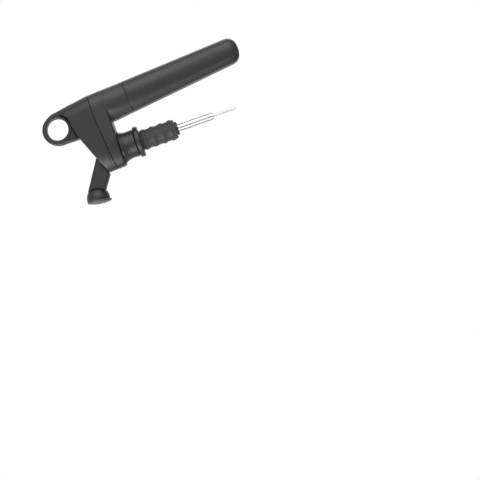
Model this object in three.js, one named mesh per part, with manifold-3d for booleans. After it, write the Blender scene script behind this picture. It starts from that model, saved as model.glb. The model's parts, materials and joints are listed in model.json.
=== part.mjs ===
// Hand-held wine preservation dispenser, standing in the stopper that it pours through.
// Millimetres. +Z runs up the stopper's axis and out of the bottle, the handle hangs on the +X side, the
// spout is on the -X side, and the part is symmetric about Y = 0. The origin is the centre of the bottle's mouth.
import * as THREE from 'three';
import { mergeVertices } from 'three/addons/utils/BufferGeometryUtils.js';
import Module from 'manifold-3d';

const wasm = await Module();
wasm.setup();

const degree = Math.PI / 180;
const gap = 0.3; // clearance between pieces that seat on each other
const wall = 2.3; // moulded shells
const seam = 0.35; // open line between two outer shells
const overrun = 6; // how far a cutting tool runs past what it cuts
const roundSides = 24; // facets of the large turned pieces
const smallSides = 16; // facets of the small turned pieces
const wireSides = 5; // facets of seal rings and spring wire
const driveSides = 6; // a hexagon socket
const springSteps = 8; // straight lengths of wire in a spring's turn

const quarterShares = [0.25, 0.5, 0.75, 1];

// Driving dimensions

const stopper = {
  flangeRadius: 14, flangeHeight: 4.4, flangeEdge: 1.2,
  coreRadius: 6.2, coreLength: 34, boreClearance: 0.5,
  pocketRadius: 5.2, pocketDepth: 4, capHeight: 2,
  plugRadius: 8.8, ribRadius: 9.7, ribCount: 4, ribHeight: 2.4, seatMargin: 0.5, seatStep: 0.8,
};
const pourTube = { radius: 3.5, thickness: 0.7, reach: 70 };
const gasTube = { radius: 1.2, thickness: 0.45, reach: 92 };
const collar = {
  bottomRadius: 12.4, waistRadius: 12, topRadius: 14.5, edge: 0.8,
  waistShare: 0.38, floor: 3, bossRadius: 6.4, sealRadius: 9.5, sealHeight: 1.8, lineWidth: 0.5,
};
const head = {
  rearZ: 19, seamZ: 33.1, seamDropZ: 28.3, seamBendX: 30,
  nearX: -17, nearLean: 0.045, nearFlat: 3, nearRound: 26, nearSoftness: 2,
  farX: 57.6, farLean: 0.074, farBulge: 0.0025, farRound: 14.4,
  rearDepth: 14.4, seamDepth: 15.5, roofDepth: 13.4, ringDepth: 5, rearEdge: 2.8,
  notch: 0.8, softness: 2.4,
};
const roof = { lowX: -17, lowZ: 37.4, highX: 20.5, highZ: 52.3, stepX: 40, stepZ: 56.8 };
const ring = {
  x: 34.7, z: 68.9, hole: 10, radius: 14.2, thickness: 10, edge: 1.2,
  blendAngle: 50 * degree, blendReach: 6, clearRadius: 13.8, holeRim: 2.2, sideRim: 2.6, pocket: 0.9,
};
const handle = {
  tilt: 4.9 * degree, seamX: 43.3, seamZ: -1.5,
  mouthHalf: 14.4, mouthDepth: 13.2, endHalf: 11.5, endDepth: 11.6,
  baseLength: 27, baseDepth: 13.8, flat: 6.4, chamferAcross: 2.8, chamferUp: 1.9,
  softness: 2.15, crown: 2.2, tipFlatShare: 0.85, endTurn: 86 * degree, endSteps: 7,
};
const capsule = {
  radius: 9.3, length: 83, thickness: 1.3, neckRadius: 4.3, neckLength: 6, shoulder: 6,
  pierced: 1.2, topS: -12, bottomRound: 4,
};
const socket = { threadRadius: 10.7, bore: 5, noseBore: 4, ringWire: 0.45, ringS: -2.4 };
const cup = { threadClearance: 0.4, capsuleClearance: 0.4, padHeight: 6.5, tipThickness: 8.8 };
const regulator = {
  radius: 9.7, baseS: 2.4, length: 16.5, nose: 3.7, chamber: 6.6, chamberFloor: 3.2,
  capHeight: 3, capKey: 2.4, pistonHeight: 3.4, pistonClearance: 0.25, sealWire: 0.5, stemRadius: 1,
  springRadius: 4.4, springWire: 0.8, springTurns: 5,
};
const pin = { radius: 0.8, pierce: 1.5, baseRadius: 2.4, baseHeight: 1 };
const gasket = { height: 2, bore: 1.3 };
const block = {
  lowX: -12.5, highX: 16, halfDepth: 8.9, topZ: 39.8, spoolZ: 35.8,
  spoolBore: 2.6, spoolEndX: -10, openRadius: 3.2, openX: -4.4, wineBore: 2, chamfer: 1.5,
};
const spool = {
  radius: 2.3, insideX: -3.9, endX: 41.6, seals: [-2.7, 5, 12], sealWire: 0.5, sealMajor: 1.9,
  waistRadius: 1.4, waistLowX: -1.6, waistHighX: 4, collarX: 27, collarRadius: 4.5, collarLength: 1.6,
};
const gland = { radius: 5, length: 2.4 };
const buttonSpring = { radius: 3.7, wire: 0.7, turns: 5 };
const button = {
  lowZ: 35.6, highZ: 56, halfWidth: 7.4, corner: 4.5, thickness: 3.4, clearance: 0.4,
  lip: 1.3, lipThickness: 1.4, dishRadius: 34, dishDepth: 0.9, armHalfWidth: 4, armX: 42, armZ: 40,
  travel: 3,
};
const spout = {
  x: -10.6, z: 40.4, lean: 56.3 * degree, radius: 4, bore: 2.2, inside: 4, length: 17,
  sealAt: 9, sealWire: 0.7,
};
const aerator = {
  rootRadius: 8.1, neckRadius: 7.5, shadowGap: 0.4, dome: 10.9, domeX: -37, domeZ: 54.5,
  faceX: -40.9, faceLean: 8.5 * degree, skin: 1.6, fit: 0.35,
  plateRadius: 11.2, plateHeight: 2.2, plateEdge: 0.5, plateBulge: 1.5, spigotRadius: 8.4, spigotHeight: 1.4,
};
const shower = { rings: [[2.8, 6], [5.3, 11], [7.6, 16]], hole: 0.55 };
const diffuser = { height: 1.6, ports: 6, port: 1.1, portCircle: 3.6, stemRadius: 1.6, stemHeight: 2.4 };
const gasLine = { radius: 1.5, z: 26, bend: 5, sides: 8, steps: 14 };
const screw = {
  radius: 1.2, headRadius: 2.2, headHeight: 1.5, driveRadius: 0.9, driveDepth: 0.8,
  bossRadius: 3, coverX: 21.5, coverY: 8.6, coverTopZ: 38, blockX: 12.6, blockY: 6.1,
};

// Materials

function plastic(color, roughness = 0.55) {
  return new THREE.MeshStandardMaterial({ color, roughness, metalness: 0 });
}

function metal(color, roughness = 0.3) {
  return new THREE.MeshStandardMaterial({ color, roughness, metalness: 1 });
}

function rubber() {
  return plastic(blackRubber, 0.8);
}

const charcoal = 0x4a4a4b;
const darkPlastic = 0x3d3d3e;
const greyPlastic = 0x5c5c5e;
const whitePlastic = 0xd8d8d4;
const blackRubber = 0x1b1b1c;
const steel = 0xb8babd;
const brass = 0xb08d4a;

// Solids

// Makes a closed geometry a solid, with its faces turned out.
function solid(geometry) {
  const bare = geometry.index ? geometry.toNonIndexed() : geometry.clone();
  bare.deleteAttribute('normal');
  bare.deleteAttribute('uv');
  const merged = mergeVertices(bare, 1e-4);
  const at = merged.attributes.position;
  const triangles = [];
  for (let k = 0; k < merged.index.count; k += 3) {
    const [a, b, c] = [0, 1, 2].map((j) => merged.index.getX(k + j));
    if (a !== b && b !== c && c !== a) triangles.push(a, b, c);
  }
  if (volumeOf(at, triangles) < 0) triangles.reverse();
  const made = new wasm.Mesh({
    numProp: 3,
    vertProperties: new Float32Array(at.array),
    triVerts: new Uint32Array(triangles),
  });
  return new wasm.Manifold(made);
}

function volumeOf(at, triangles) {
  const [a, b, c] = [new THREE.Vector3(), new THREE.Vector3(), new THREE.Vector3()];
  let six = 0;
  for (let k = 0; k < triangles.length; k += 3) {
    a.fromBufferAttribute(at, triangles[k]);
    b.fromBufferAttribute(at, triangles[k + 1]);
    c.fromBufferAttribute(at, triangles[k + 2]);
    six += a.dot(b.cross(c));
  }
  return six;
}

function surface(made) {
  const { vertProperties, triVerts, numProp } = made.getMesh();
  const geometry = new THREE.BufferGeometry();
  const position = new Float32Array((vertProperties.length / numProp) * 3);
  for (let k = 0; k < position.length / 3; k++) {
    position.set(vertProperties.subarray(k * numProp, k * numProp + 3), k * 3);
  }
  geometry.setAttribute('position', new THREE.BufferAttribute(position, 3));
  geometry.setIndex(Array.from(triVerts));
  geometry.computeVertexNormals();
  return geometry;
}

function join(...solids) {
  return solids.reduce((whole, next) => whole.add(next));
}

function cut(whole, ...tools) {
  return tools.reduce((left, tool) => left.subtract(tool), whole);
}

// A piece turned about +Z from a closed outline of [radius, height] points.
function turned(outline, sides = roundSides) {
  const points = outline.map(([radius, height]) => new THREE.Vector2(radius, height));
  const onAxis = outline[0][0] === 0;
  if (!onAxis) points.push(points[0].clone());
  return new THREE.LatheGeometry(points, sides).rotateX(Math.PI / 2);
}

function rod(radius, low, high, sides = smallSides) {
  return turned([[0, low], [radius, low], [radius, high], [0, high]], sides);
}

function pipe(radius, bore, low, high, sides = smallSides) {
  return turned([[bore, low], [radius, low], [radius, high], [bore, high]], sides);
}

// A ring of round wire about +Z.
function wireRing(major, wire, height, sides = smallSides) {
  return new THREE.TorusGeometry(major, wire, wireSides, sides).translate(0, 0, height);
}

// A rounded turned edge: the outline's points on a quarter circle from angle `from` to `to`.
function corner(radius, height, size, from, to, steps = 3) {
  const points = [];
  for (let k = 0; k <= steps; k++) {
    const angle = (from + ((to - from) * k) / steps) * degree;
    points.push([radius + size * Math.cos(angle), height + size * Math.sin(angle)]);
  }
  return points;
}

// Drawn in X and Z, and as thick as `depth` about Y = 0.
function slab(shape, depth, edge = 0) {
  const options = {
    depth: depth - 2 * edge, curveSegments: 11, bevelEnabled: edge > 0,
    bevelThickness: edge, bevelSize: edge, bevelOffset: -edge, bevelSegments: 2,
  };
  const upright = new THREE.Matrix4().makeBasis(
    new THREE.Vector3(1, 0, 0), new THREE.Vector3(0, 0, 1), new THREE.Vector3(0, -1, 0));
  return new THREE.ExtrudeGeometry(shape, options)
    .translate(0, 0, edge - depth / 2)
    .applyMatrix4(upright);
}

// Drawn in Y and Z, and running along X from `low` to `high`.
function prismX(shape, low, high) {
  const along = new THREE.Matrix4().makeBasis(
    new THREE.Vector3(0, 1, 0), new THREE.Vector3(0, 0, 1), new THREE.Vector3(1, 0, 0));
  return new THREE.ExtrudeGeometry(shape, { depth: high - low, curveSegments: 6, bevelEnabled: false })
    .applyMatrix4(along)
    .translate(low, 0, 0);
}

function box(lowX, highX, halfY, lowZ, highZ) {
  return new THREE.BoxGeometry(highX - lowX, 2 * halfY, highZ - lowZ)
    .translate((lowX + highX) / 2, 0, (lowZ + highZ) / 2);
}

// Turns a piece made about +Z so that it lies along +X at height z.
function alongX(geometry, z) {
  return geometry.rotateY(Math.PI / 2).translate(0, 0, z);
}

function polygon(points) {
  return new THREE.Shape(points.map(([x, z]) => new THREE.Vector2(x, z)));
}

function roundedRectangle(halfWidth, low, high, radius) {
  const shape = new THREE.Shape();
  shape.absarc(halfWidth - radius, high - radius, radius, 0, Math.PI / 2);
  shape.absarc(radius - halfWidth, high - radius, radius, Math.PI / 2, Math.PI);
  shape.absarc(radius - halfWidth, low + radius, radius, Math.PI, 1.5 * Math.PI);
  shape.absarc(halfWidth - radius, low + radius, radius, 1.5 * Math.PI, 2 * Math.PI);
  return shape;
}

// A helical spring about +Z. Its wire is one tube along the helix.
function coil(radius, wire, low, high, turns) {
  const steps = springSteps * turns;
  const points = [];
  for (let k = 0; k <= steps; k++) {
    const angle = (2 * Math.PI * k) / springSteps;
    const height = low + wire / 2 + ((high - low - wire) * k) / steps;
    points.push(new THREE.Vector3(radius * Math.cos(angle), radius * Math.sin(angle), height));
  }
  const section = new THREE.Shape().absarc(0, 0, wire / 2, 0, 2 * Math.PI);
  return new THREE.ExtrudeGeometry(section, {
    steps, curveSegments: wireSides / 2, bevelEnabled: false, extrudePath: new THREE.CatmullRomCurve3(points),
  });
}

// Joins closed rings of points, lowest first, each running anticlockwise seen from above.
function loft(rings) {
  const count = rings[0].length;
  const index = [];
  for (let k = 0; k + 1 < rings.length; k++) {
    for (let i = 0; i < count; i++) {
      const here = k * count + i;
      const next = k * count + ((i + 1) % count);
      index.push(here, next, next + count, here, next + count, here + count);
    }
  }
  const top = (rings.length - 1) * count;
  for (let i = 1; i + 1 < count; i++) {
    index.push(0, i + 1, i, top, top + i, top + i + 1);
  }
  const geometry = new THREE.BufferGeometry();
  geometry.setAttribute('position', new THREE.Float32BufferAttribute(rings.flat(2), 3));
  geometry.setIndex(index);
  return geometry;
}

// Closes half a section, which runs from +X through +Y to -X, with its mirror image.
function mirrored(half, z) {
  const other = half.slice(1, -1).reverse().map(([x, y]) => [x, -y]);
  return [...half, ...other].map(([x, y]) => [x, y, z]);
}

// A quarter of a superellipse, from its end on X to its end on Y.
function softQuarter(length, depth, softness, steps) {
  const points = [];
  for (let k = 0; k <= steps; k++) {
    const angle = (90 * degree * k) / steps;
    const across = k === steps ? 0 : Math.cos(angle) ** (2 / softness);
    points.push([length * across, depth * Math.sin(angle) ** (2 / softness)]);
  }
  return points;
}

// The scene graph

const dispenser = new THREE.Group();
const handleFrame = new THREE.Group();
handleFrame.position.set(handle.seamX, 0, handle.seamZ);
handleFrame.rotation.y = -handle.tilt;
const spoutFrame = new THREE.Group();
spoutFrame.position.set(spout.x, 0, spout.z);
spoutFrame.rotation.y = -spout.lean;
dispenser.add(handleFrame, spoutFrame);
dispenser.updateMatrixWorld(true);

function piece(name, made, material, frame = dispenser) {
  const mesh = new THREE.Mesh(surface(made), material);
  mesh.name = name;
  frame.add(mesh);
}

function inHandle(geometry) {
  return solid(geometry.applyMatrix4(handleFrame.matrixWorld));
}

function inSpout(geometry) {
  return solid(geometry.applyMatrix4(spoutFrame.matrixWorld));
}

// Head: a soft wedge, lofted up Z, that the roof plane and the ring's clearing cut off

function nearEndX(z) {
  return head.nearX - head.nearLean * (z - head.rearZ);
}

function farSideX(z) {
  if (z <= head.seamZ) return head.farX - head.farLean * z;
  const above = z - head.seamZ;
  const start = head.farX - head.farLean * head.seamZ + head.notch;
  return start - head.farLean * above / 2 - head.farBulge * above * above;
}

function halfDepth(z) {
  if (z <= head.seamZ) {
    return THREE.MathUtils.mapLinear(z, head.rearZ, head.seamZ, head.rearDepth, head.seamDepth);
  }
  if (z <= roof.stepZ) {
    return THREE.MathUtils.mapLinear(z, head.seamZ, roof.stepZ, head.seamDepth, head.roofDepth);
  }
  const rise = THREE.MathUtils.smoothstep(z, roof.stepZ, ring.z + ring.edge);
  return head.roofDepth + (head.ringDepth - head.roofDepth) * rise;
}

function headSection(z, inset) {
  const far = farSideX(z) - inset;
  const near = nearEndX(z) + inset;
  const depth = halfDepth(z) - inset;
  const farRound = Math.min(head.farRound, far - near - head.nearRound);
  const soft = softQuarter(farRound, depth, head.softness, 7).map(([x, y]) => [far - farRound + x, y]);
  const flat = Math.min(head.nearFlat, depth / 2);
  const cornered = softQuarter(head.nearRound, depth - flat, head.nearSoftness, 6)
    .reverse()
    .map(([x, y]) => [near + head.nearRound - x, flat + y]);
  return mirrored([...soft, ...cornered, [near, 0]], z);
}

function steps(low, high, count) {
  return Array.from({ length: count + 1 }, (_, k) => low + ((high - low) * k) / count);
}

// The head's body from lowZ to highZ, `inset` inside its outer skin, with a round edge at the bottom.
function headBody(inset, lowZ, highZ, edge = 0) {
  const sections = [];
  if (edge > 0) {
    for (const angle of [0, 30 * degree, 60 * degree]) {
      const drawnIn = edge * (1 - Math.sin(angle));
      sections.push(headSection(lowZ + edge * (1 - Math.cos(angle)), inset + drawnIn));
    }
  }
  const levels = [...steps(lowZ + edge, head.seamZ - seam, 2), ...steps(head.seamZ, highZ, 10)];
  return solid(loft([...sections, ...levels.map((z) => headSection(z, inset))]));
}

const headTopZ = ring.z + ring.edge;
const farLeft = head.nearX - wall - overrun;
const farRight = head.farX + wall + overrun;

const roofSlope = (roof.highZ - roof.lowZ) / (roof.highX - roof.lowX);
const roofZ = (x) => roof.lowZ + roofSlope * (x - roof.lowX);

// Everything above the roof, drawn `drop` lower for the inside of the shell.
function aboveRoof(drop) {
  const top = ring.z + ring.radius + overrun;
  const lean = drop * Math.hypot(1, roofSlope);
  const outline = polygon([
    [farLeft, roofZ(farLeft) - lean],
    [roof.highX, roof.highZ - lean],
    [roof.stepX, roof.stepZ - lean],
    [roof.stepX, top],
    [farLeft, top],
  ]);
  const thick = 2 * head.seamDepth + overrun;
  const clearing = new THREE.Shape().absarc(ring.x, ring.z, ring.clearRadius + drop, 0, 2 * Math.PI);
  return join(solid(slab(outline, thick)), solid(slab(clearing, thick)));
}

// Everything above the parting line between rear frame and front cover, shifted up by `lift`.
function aboveSeam(lift) {
  const top = ring.z + ring.radius + overrun;
  const slope = (head.seamZ - head.seamDropZ) / (head.seamBendX - head.nearX);
  const outline = polygon([
    [farLeft, head.seamDropZ + slope * (farLeft - head.nearX) + lift],
    [head.seamBendX, head.seamZ + lift],
    [farRight, head.seamZ + lift],
    [farRight, top],
    [farLeft, top],
  ]);
  return solid(slab(outline, 2 * head.seamDepth + overrun));
}

// Handle: one section, lofted along the handle's axis, with a crisp flat facing the bottle

function handleSection(half, depth, s, flatShare = 1, roundShare = 1) {
  const flat = handle.flat * flatShare;
  const across = Math.min(handle.chamferAcross, depth - flat) * roundShare;
  const up = handle.chamferUp * roundShare;
  const side = [];
  for (const share of quarterShares) {
    const x = -(half - up) * share;
    side.push([x, flat + across + (depth - flat - across) * (1 - share ** handle.crown)]);
  }
  const soft = softQuarter(half, depth, handle.softness, 7);
  return mirrored([...soft, ...side, [-half, flat], [-half, 0]], s);
}

// The cup's outer form: a round end in side view, then an even taper up to the mouth.
function cupForm() {
  const centre = handle.endHalf + cupEndS;
  const rings = [];
  for (let k = handle.endSteps; k > 0; k--) {
    const turn = (handle.endTurn * k) / handle.endSteps;
    const flatShare = 1 - (1 - handle.tipFlatShare) * Math.sin(turn);
    const tipDepth = handle.flat * flatShare + handle.chamferAcross;
    const depth = tipDepth + (handle.endDepth - tipDepth) * (1 - Math.sin(turn) ** handle.crown);
    const s = centre - handle.endHalf * Math.sin(turn);
    rings.push(handleSection(handle.endHalf * Math.cos(turn), depth, s, flatShare, Math.cos(turn)));
  }
  for (const s of steps(centre, -seam, 4)) {
    const share = (s - centre) / -centre;
    const half = THREE.MathUtils.lerp(handle.endHalf, handle.mouthHalf, share);
    rings.push(handleSection(half, THREE.MathUtils.lerp(handle.endDepth, handle.mouthDepth, share), s));
  }
  return loft(rings);
}

function handleBase() {
  const rings = steps(0, handle.baseLength, 3).map((s) => {
    const depth = THREE.MathUtils.lerp(handle.mouthDepth, handle.baseDepth, s / handle.baseLength);
    return handleSection(handle.mouthHalf, depth, s);
  });
  return inHandle(loft(rings));
}

// Stopper: a hard core with its flange, a ribbed plug and a seal round the pouring tube

const stopperBore = pourTube.radius + stopper.boreClearance;

function stopperCore() {
  const { flangeRadius, flangeHeight, flangeEdge, coreRadius, coreLength } = stopper;
  const { pocketRadius, pocketDepth, ribRadius, seatMargin, seatStep } = stopper;
  const edgeAt = flangeRadius - flangeEdge;
  const seatRadius = ribRadius + seatMargin;
  return solid(turned([
    [stopperBore, pocketDepth - coreLength],
    [pocketRadius, pocketDepth - coreLength],
    [pocketRadius, -coreLength],
    [coreRadius, -coreLength],
    [coreRadius, seatStep],
    [seatRadius, seatStep],
    [seatRadius, 0],
    ...corner(edgeAt, flangeEdge, flangeEdge, -90, 0),
    ...corner(edgeAt, flangeHeight - flangeEdge, flangeEdge, 0, 90),
    [stopperBore, flangeHeight],
  ]));
}

function stopperPlug() {
  const { coreRadius, coreLength, plugRadius, ribRadius, ribCount, ribHeight, seatStep } = stopper;
  const low = gap - coreLength;
  const top = seatStep - gap;
  const pitch = (-gap - low) / ribCount;
  const outline = [[coreRadius + gap, low]];
  for (let k = 0; k < ribCount; k++) {
    const rib = low + pitch * (k + 0.5);
    outline.push([plugRadius, rib - pitch / 2], [plugRadius, rib - ribHeight / 2]);
    outline.push([ribRadius, rib], [plugRadius, rib + ribHeight / 2]);
  }
  outline.push([plugRadius, top], [coreRadius + gap, top]);
  return solid(turned(outline));
}

piece('stopper_core', stopperCore(), plastic(charcoal));
piece('stopper_plug', stopperPlug(), rubber());
piece('stopper_end_cap', solid(pipe(stopper.coreRadius, stopperBore,
  -stopper.coreLength - stopper.capHeight, -stopper.coreLength, roundSides)), plastic(darkPlastic));
piece('tube_seal', solid(pipe(stopper.pocketRadius - gap, pourTube.radius + gap,
  gap - stopper.coreLength, stopper.pocketDepth - stopper.coreLength - gap, roundSides)), rubber());

// Tubes and collar

const tubeTopZ = head.rearZ + wall + collar.floor;
const gasTopZ = block.spoolZ - block.spoolBore - wall;

function neckCollar() {
  const { bottomRadius, waistRadius, topRadius, edge, waistShare, floor, bossRadius, lineWidth } = collar;
  const { sealRadius, sealHeight } = collar;
  const low = stopper.flangeHeight + lineWidth;
  const high = head.rearZ - lineWidth;
  const waistZ = THREE.MathUtils.lerp(low, high, waistShare);
  const flare = [];
  for (const share of quarterShares) {
    const radius = waistRadius + (topRadius - waistRadius) * share ** 2;
    flare.push([radius, THREE.MathUtils.lerp(waistZ, high, share)]);
  }
  const bore = pourTube.radius + gap;
  const sealTop = stopper.flangeHeight + sealHeight + gap;
  return solid(turned([
    [bore, sealTop],
    [sealRadius + gap, sealTop],
    [sealRadius + gap, low],
    ...corner(bottomRadius - edge, low + edge, edge, -90, 0, 2),
    [waistRadius, waistZ],
    ...flare,
    [topRadius - wall, high],
    [waistRadius - wall, waistZ],
    [waistRadius - wall, low + floor + sealHeight],
    [bossRadius, low + floor + sealHeight],
    [bossRadius, head.rearZ],
    [bore, head.rearZ],
  ]));
}

function tube({ radius, thickness, reach }, topZ) {
  return solid(pipe(radius, radius - thickness, -reach, topZ));
}

piece('pour_tube', tube(pourTube, tubeTopZ), metal(steel));
piece('gas_tube', tube(gasTube, gasTopZ), metal(steel));
piece('neck_collar', neckCollar(), plastic(charcoal));
piece('neck_seal', solid(pipe(collar.sealRadius, stopperBore,
  stopper.flangeHeight, stopper.flangeHeight + collar.sealHeight, roundSides)), rubber());

// Rear frame: the lower half of the wedge with the base of the handle

const regulatorBore = inHandle(rod(
  regulator.radius + gap, -overrun, handle.baseLength + overrun, roundSides));
const screwPlaces = [1, -1].map((side) => [screw.coverX, side * screw.coverY]);
const blockScrewPlaces = [1, -1].map((side) => [screw.blockX, side * screw.blockY]);
const floorZ = head.rearZ + wall;

function upright(geometry, [x, y]) {
  return solid(geometry.translate(x, y, 0));
}

function rearFrame() {
  const outer = join(headBody(0, head.rearZ, headTopZ, head.rearEdge), handleBase());
  const inner = headBody(wall, floorZ, headTopZ);
  const tubeBore = solid(rod(pourTube.radius + gap, head.rearZ - overrun, floorZ + overrun));
  const bosses = screwPlaces.map((place) => upright(
    rod(screw.bossRadius, head.rearZ + wall / 2, head.seamZ - wall), place));
  const shell = join(cut(outer, inner), ...bosses.map((boss) => boss.intersect(outer)));
  const screwWays = screwPlaces.map((place) => join(
    upright(rod(screw.radius + gap, head.rearZ - overrun, head.seamZ + overrun), place),
    upright(rod(
      screw.headRadius + gap, head.rearZ - overrun, head.rearZ + screw.headHeight + gap), place)));
  const blockWays = blockScrewPlaces.map((place) => upright(
    rod(screw.radius + gap, head.rearZ + wall / 3, floorZ + overrun), place));
  return cut(shell, aboveSeam(-seam), regulatorBore, tubeBore, ...screwWays, ...blockWays);
}

piece('rear_frame', rearFrame(), plastic(charcoal));

// Front cover: the upper half of the wedge, with the hanging ring in the same moulding

// The plate's outline follows the head's far side up, then runs on smoothly into the ring.
function ringPlate() {
  const left = ring.x - ring.radius;
  const low = roof.highZ - wall;
  const blend = ring.blendAngle;
  const meet = [ring.x + ring.radius * Math.cos(blend), ring.z + ring.radius * Math.sin(blend)];
  const outline = new THREE.Shape();
  outline.moveTo(left, low);
  outline.lineTo(farSideX(low) - head.farRound / 2, low);
  for (const z of steps(roof.stepZ, headTopZ, 4)) {
    outline.lineTo(farSideX(z) - ring.edge * (1 - (z - roof.stepZ) / (headTopZ - roof.stepZ)), z);
  }
  outline.quadraticCurveTo(
    meet[0] + ring.blendReach * Math.sin(blend), meet[1] - ring.blendReach * Math.cos(blend), ...meet);
  outline.absarc(ring.x, ring.z, ring.radius, blend, Math.PI);
  return solid(slab(outline, ring.thickness, ring.edge));
}

function ringPockets() {
  const left = ring.x - ring.radius + ring.sideRim;
  const low = roof.highZ - wall;
  const web = polygon([[left, low], [roof.stepX, low], [roof.stepX, ring.z], [left, ring.z]]);
  const depth = 2 * head.seamDepth;
  const region = solid(slab(web, depth));
  const rim = new THREE.Shape().absarc(ring.x, ring.z, ring.hole + ring.holeRim, 0, 2 * Math.PI);
  const kept = solid(slab(polygon([
    [farLeft, low - overrun], [farRight, low - overrun],
    [farRight, headTopZ + overrun], [farLeft, headTopZ + overrun],
  ]), ring.thickness - 2 * ring.pocket));
  return cut(region, solid(slab(rim, depth + overrun)), kept);
}

function buttonOpening(clearance) {
  const { halfWidth, lowZ, highZ, corner: round } = button;
  return roundedRectangle(halfWidth + clearance, lowZ - clearance, highZ + clearance, round + clearance);
}

function frontCover() {
  const body = cut(headBody(0, head.rearZ, headTopZ), aboveRoof(0));
  const plate = join(body, cut(ringPlate(), ringPockets()));
  const inner = cut(headBody(wall, head.rearZ - wall, headTopZ), aboveRoof(wall));
  const hole = new THREE.Shape().absarc(ring.x, ring.z, ring.hole, 0, 2 * Math.PI);
  const bosses = screwPlaces.map((place) => upright(
    rod(screw.bossRadius, head.seamZ + seam, headTopZ), place));
  const shell = join(cut(plate, inner), ...bosses.map((boss) => boss.intersect(body)));
  const screwWays = screwPlaces.map((place) => upright(
    rod(screw.radius + gap, head.rearZ, screw.coverTopZ + gap), place));
  return cut(
    shell.intersect(aboveSeam(0)),
    solid(slab(hole, ring.thickness + overrun)),
    solid(prismX(buttonOpening(button.clearance), button.armX, farRight)),
    inSpout(rod(spout.radius + gap, -spout.inside - overrun, spout.length)),
    ...screwWays);
}

piece('front_cover', frontCover(), plastic(charcoal));

// Cover screws and block screws

// A screw at (x, y) whose head seats at seatZ and whose shank ends at tipZ.
function fixing(place, seatZ, tipZ) {
  const out = Math.sign(seatZ - tipZ);
  const crownZ = seatZ + out * screw.headHeight;
  const between = (radius, z, otherZ, sides) => upright(
    rod(radius, Math.min(z, otherZ), Math.max(z, otherZ), sides), place);
  return cut(
    join(between(screw.radius, seatZ, tipZ), between(screw.headRadius, seatZ, crownZ)),
    between(screw.driveRadius, crownZ - out * screw.driveDepth, crownZ + out * overrun, driveSides));
}

screwPlaces.forEach((place, k) => piece(
  `cover_screw_${k + 1}`, fixing(place, head.rearZ + screw.headHeight, screw.coverTopZ), metal(steel)));
blockScrewPlaces.forEach((place, k) => piece(
  `block_screw_${k + 1}`, fixing(place, block.topZ, floorZ - wall / 3), metal(steel)));

// Valve block: the wine rises into it from the pouring tube, and the spool opens wine and gas together

function valveBlock() {
  const underRoof = (x) => roofZ(x) - (wall + gap) * Math.hypot(1, roofSlope);
  const topX = roof.lowX + (block.topZ - underRoof(roof.lowX)) / roofSlope;
  const body = solid(slab(polygon([
    [block.lowX, floorZ], [block.highX, floorZ], [block.highX, block.topZ],
    [topX, block.topZ], [block.lowX, underRoof(block.lowX)],
  ]), 2 * block.halfDepth, block.chamfer)).intersect(headBody(wall + gap, floorZ - overrun, headTopZ));
  const ways = blockScrewPlaces.map((place) => upright(
    rod(screw.radius + gap, floorZ - overrun, block.topZ + overrun), place));
  return cut(
    body,
    solid(rod(pourTube.radius + gap, floorZ - overrun, tubeTopZ + gap)),
    solid(rod(block.wineBore, tubeTopZ, block.spoolZ)),
    solid(alongX(rod(block.spoolBore, block.openX, block.highX + overrun), block.spoolZ)),
    solid(alongX(rod(block.openRadius, block.spoolEndX, block.openX), block.spoolZ)),
    solid(alongX(rod(gasLine.radius + gap, block.highX - wall, block.highX + overrun), gasLine.z)),
    solid(alongX(rod(gasLine.radius / 2, 0, block.highX, 12), gasLine.z)),
    inSpout(rod(spout.radius + gap, -spout.inside - gap, spout.length)),
    inSpout(rod(spout.bore, -spout.inside - wall, 0)),
    ...ways);
}

function alongSpool(geometry) {
  return solid(alongX(geometry, block.spoolZ));
}

// At rest the first seal shuts the bore on the spout's side of the wine's way. Pressed, it stands in the wider
// chamber, and the wine runs along the spool's waist and past it.
function valveSpool() {
  const outside = spool.radius + overrun;
  const room = spool.sealWire + gap;
  const grooves = spool.seals.map((x) => alongSpool(pipe(outside, spool.sealMajor - room, x - room, x + room)));
  const waist = alongSpool(pipe(outside, spool.waistRadius, spool.waistLowX, spool.waistHighX));
  const shaft = cut(alongSpool(rod(spool.radius, spool.insideX, spool.endX)), waist, ...grooves);
  return join(shaft, alongSpool(rod(spool.collarRadius, spool.collarX, spool.collarX + spool.collarLength)));
}

piece('valve_block', valveBlock(), plastic(whitePlastic));
piece('valve_spool', valveSpool(), plastic(greyPlastic));
spool.seals.forEach((x, k) => piece(
  `spool_seal_${k + 1}`, alongSpool(wireRing(spool.sealMajor, spool.sealWire, x)), rubber()));
piece('spool_gland', alongSpool(pipe(
  gland.radius, spool.radius + gap, block.highX, block.highX + gland.length)), metal(brass));
piece('button_spring', alongSpool(coil(buttonSpring.radius, buttonSpring.wire,
  block.highX + gland.length + gap / 2, spool.collarX - gap / 2, buttonSpring.turns)), metal(steel));

// Thumb button: its face follows the cover's far side, and its lip holds it in the opening

function thumbButton() {
  const skin = (inset) => headBody(inset, head.rearZ - wall, headTopZ);
  const face = cut(skin(0), skin(button.thickness)).intersect(
    solid(prismX(buttonOpening(0), button.armX, farRight)));
  const lipInset = wall + gap;
  const roofWhenPressed = aboveRoof(lipInset).translate([button.travel, 0, 0]);
  const lip = cut(skin(lipInset), skin(lipInset + button.lipThickness), roofWhenPressed).intersect(
    solid(prismX(buttonOpening(button.lip), button.armX, farRight)));
  const middleZ = (button.lowZ + button.highZ) / 2;
  const dish = new THREE.SphereGeometry(button.dishRadius, 28, 20)
    .translate(farSideX(middleZ) + button.dishRadius - button.dishDepth, 0, middleZ);
  const armTop = farSideX(button.lowZ) - lipInset - button.lipThickness / 2;
  const arm = solid(box(button.armX, armTop, button.armHalfWidth, block.spoolZ - spool.radius, button.armZ));
  return join(cut(face, solid(dish)), lip, arm);
}

piece('thumb_button', thumbButton(), plastic(darkPlastic));

// Spout and aerator

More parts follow.
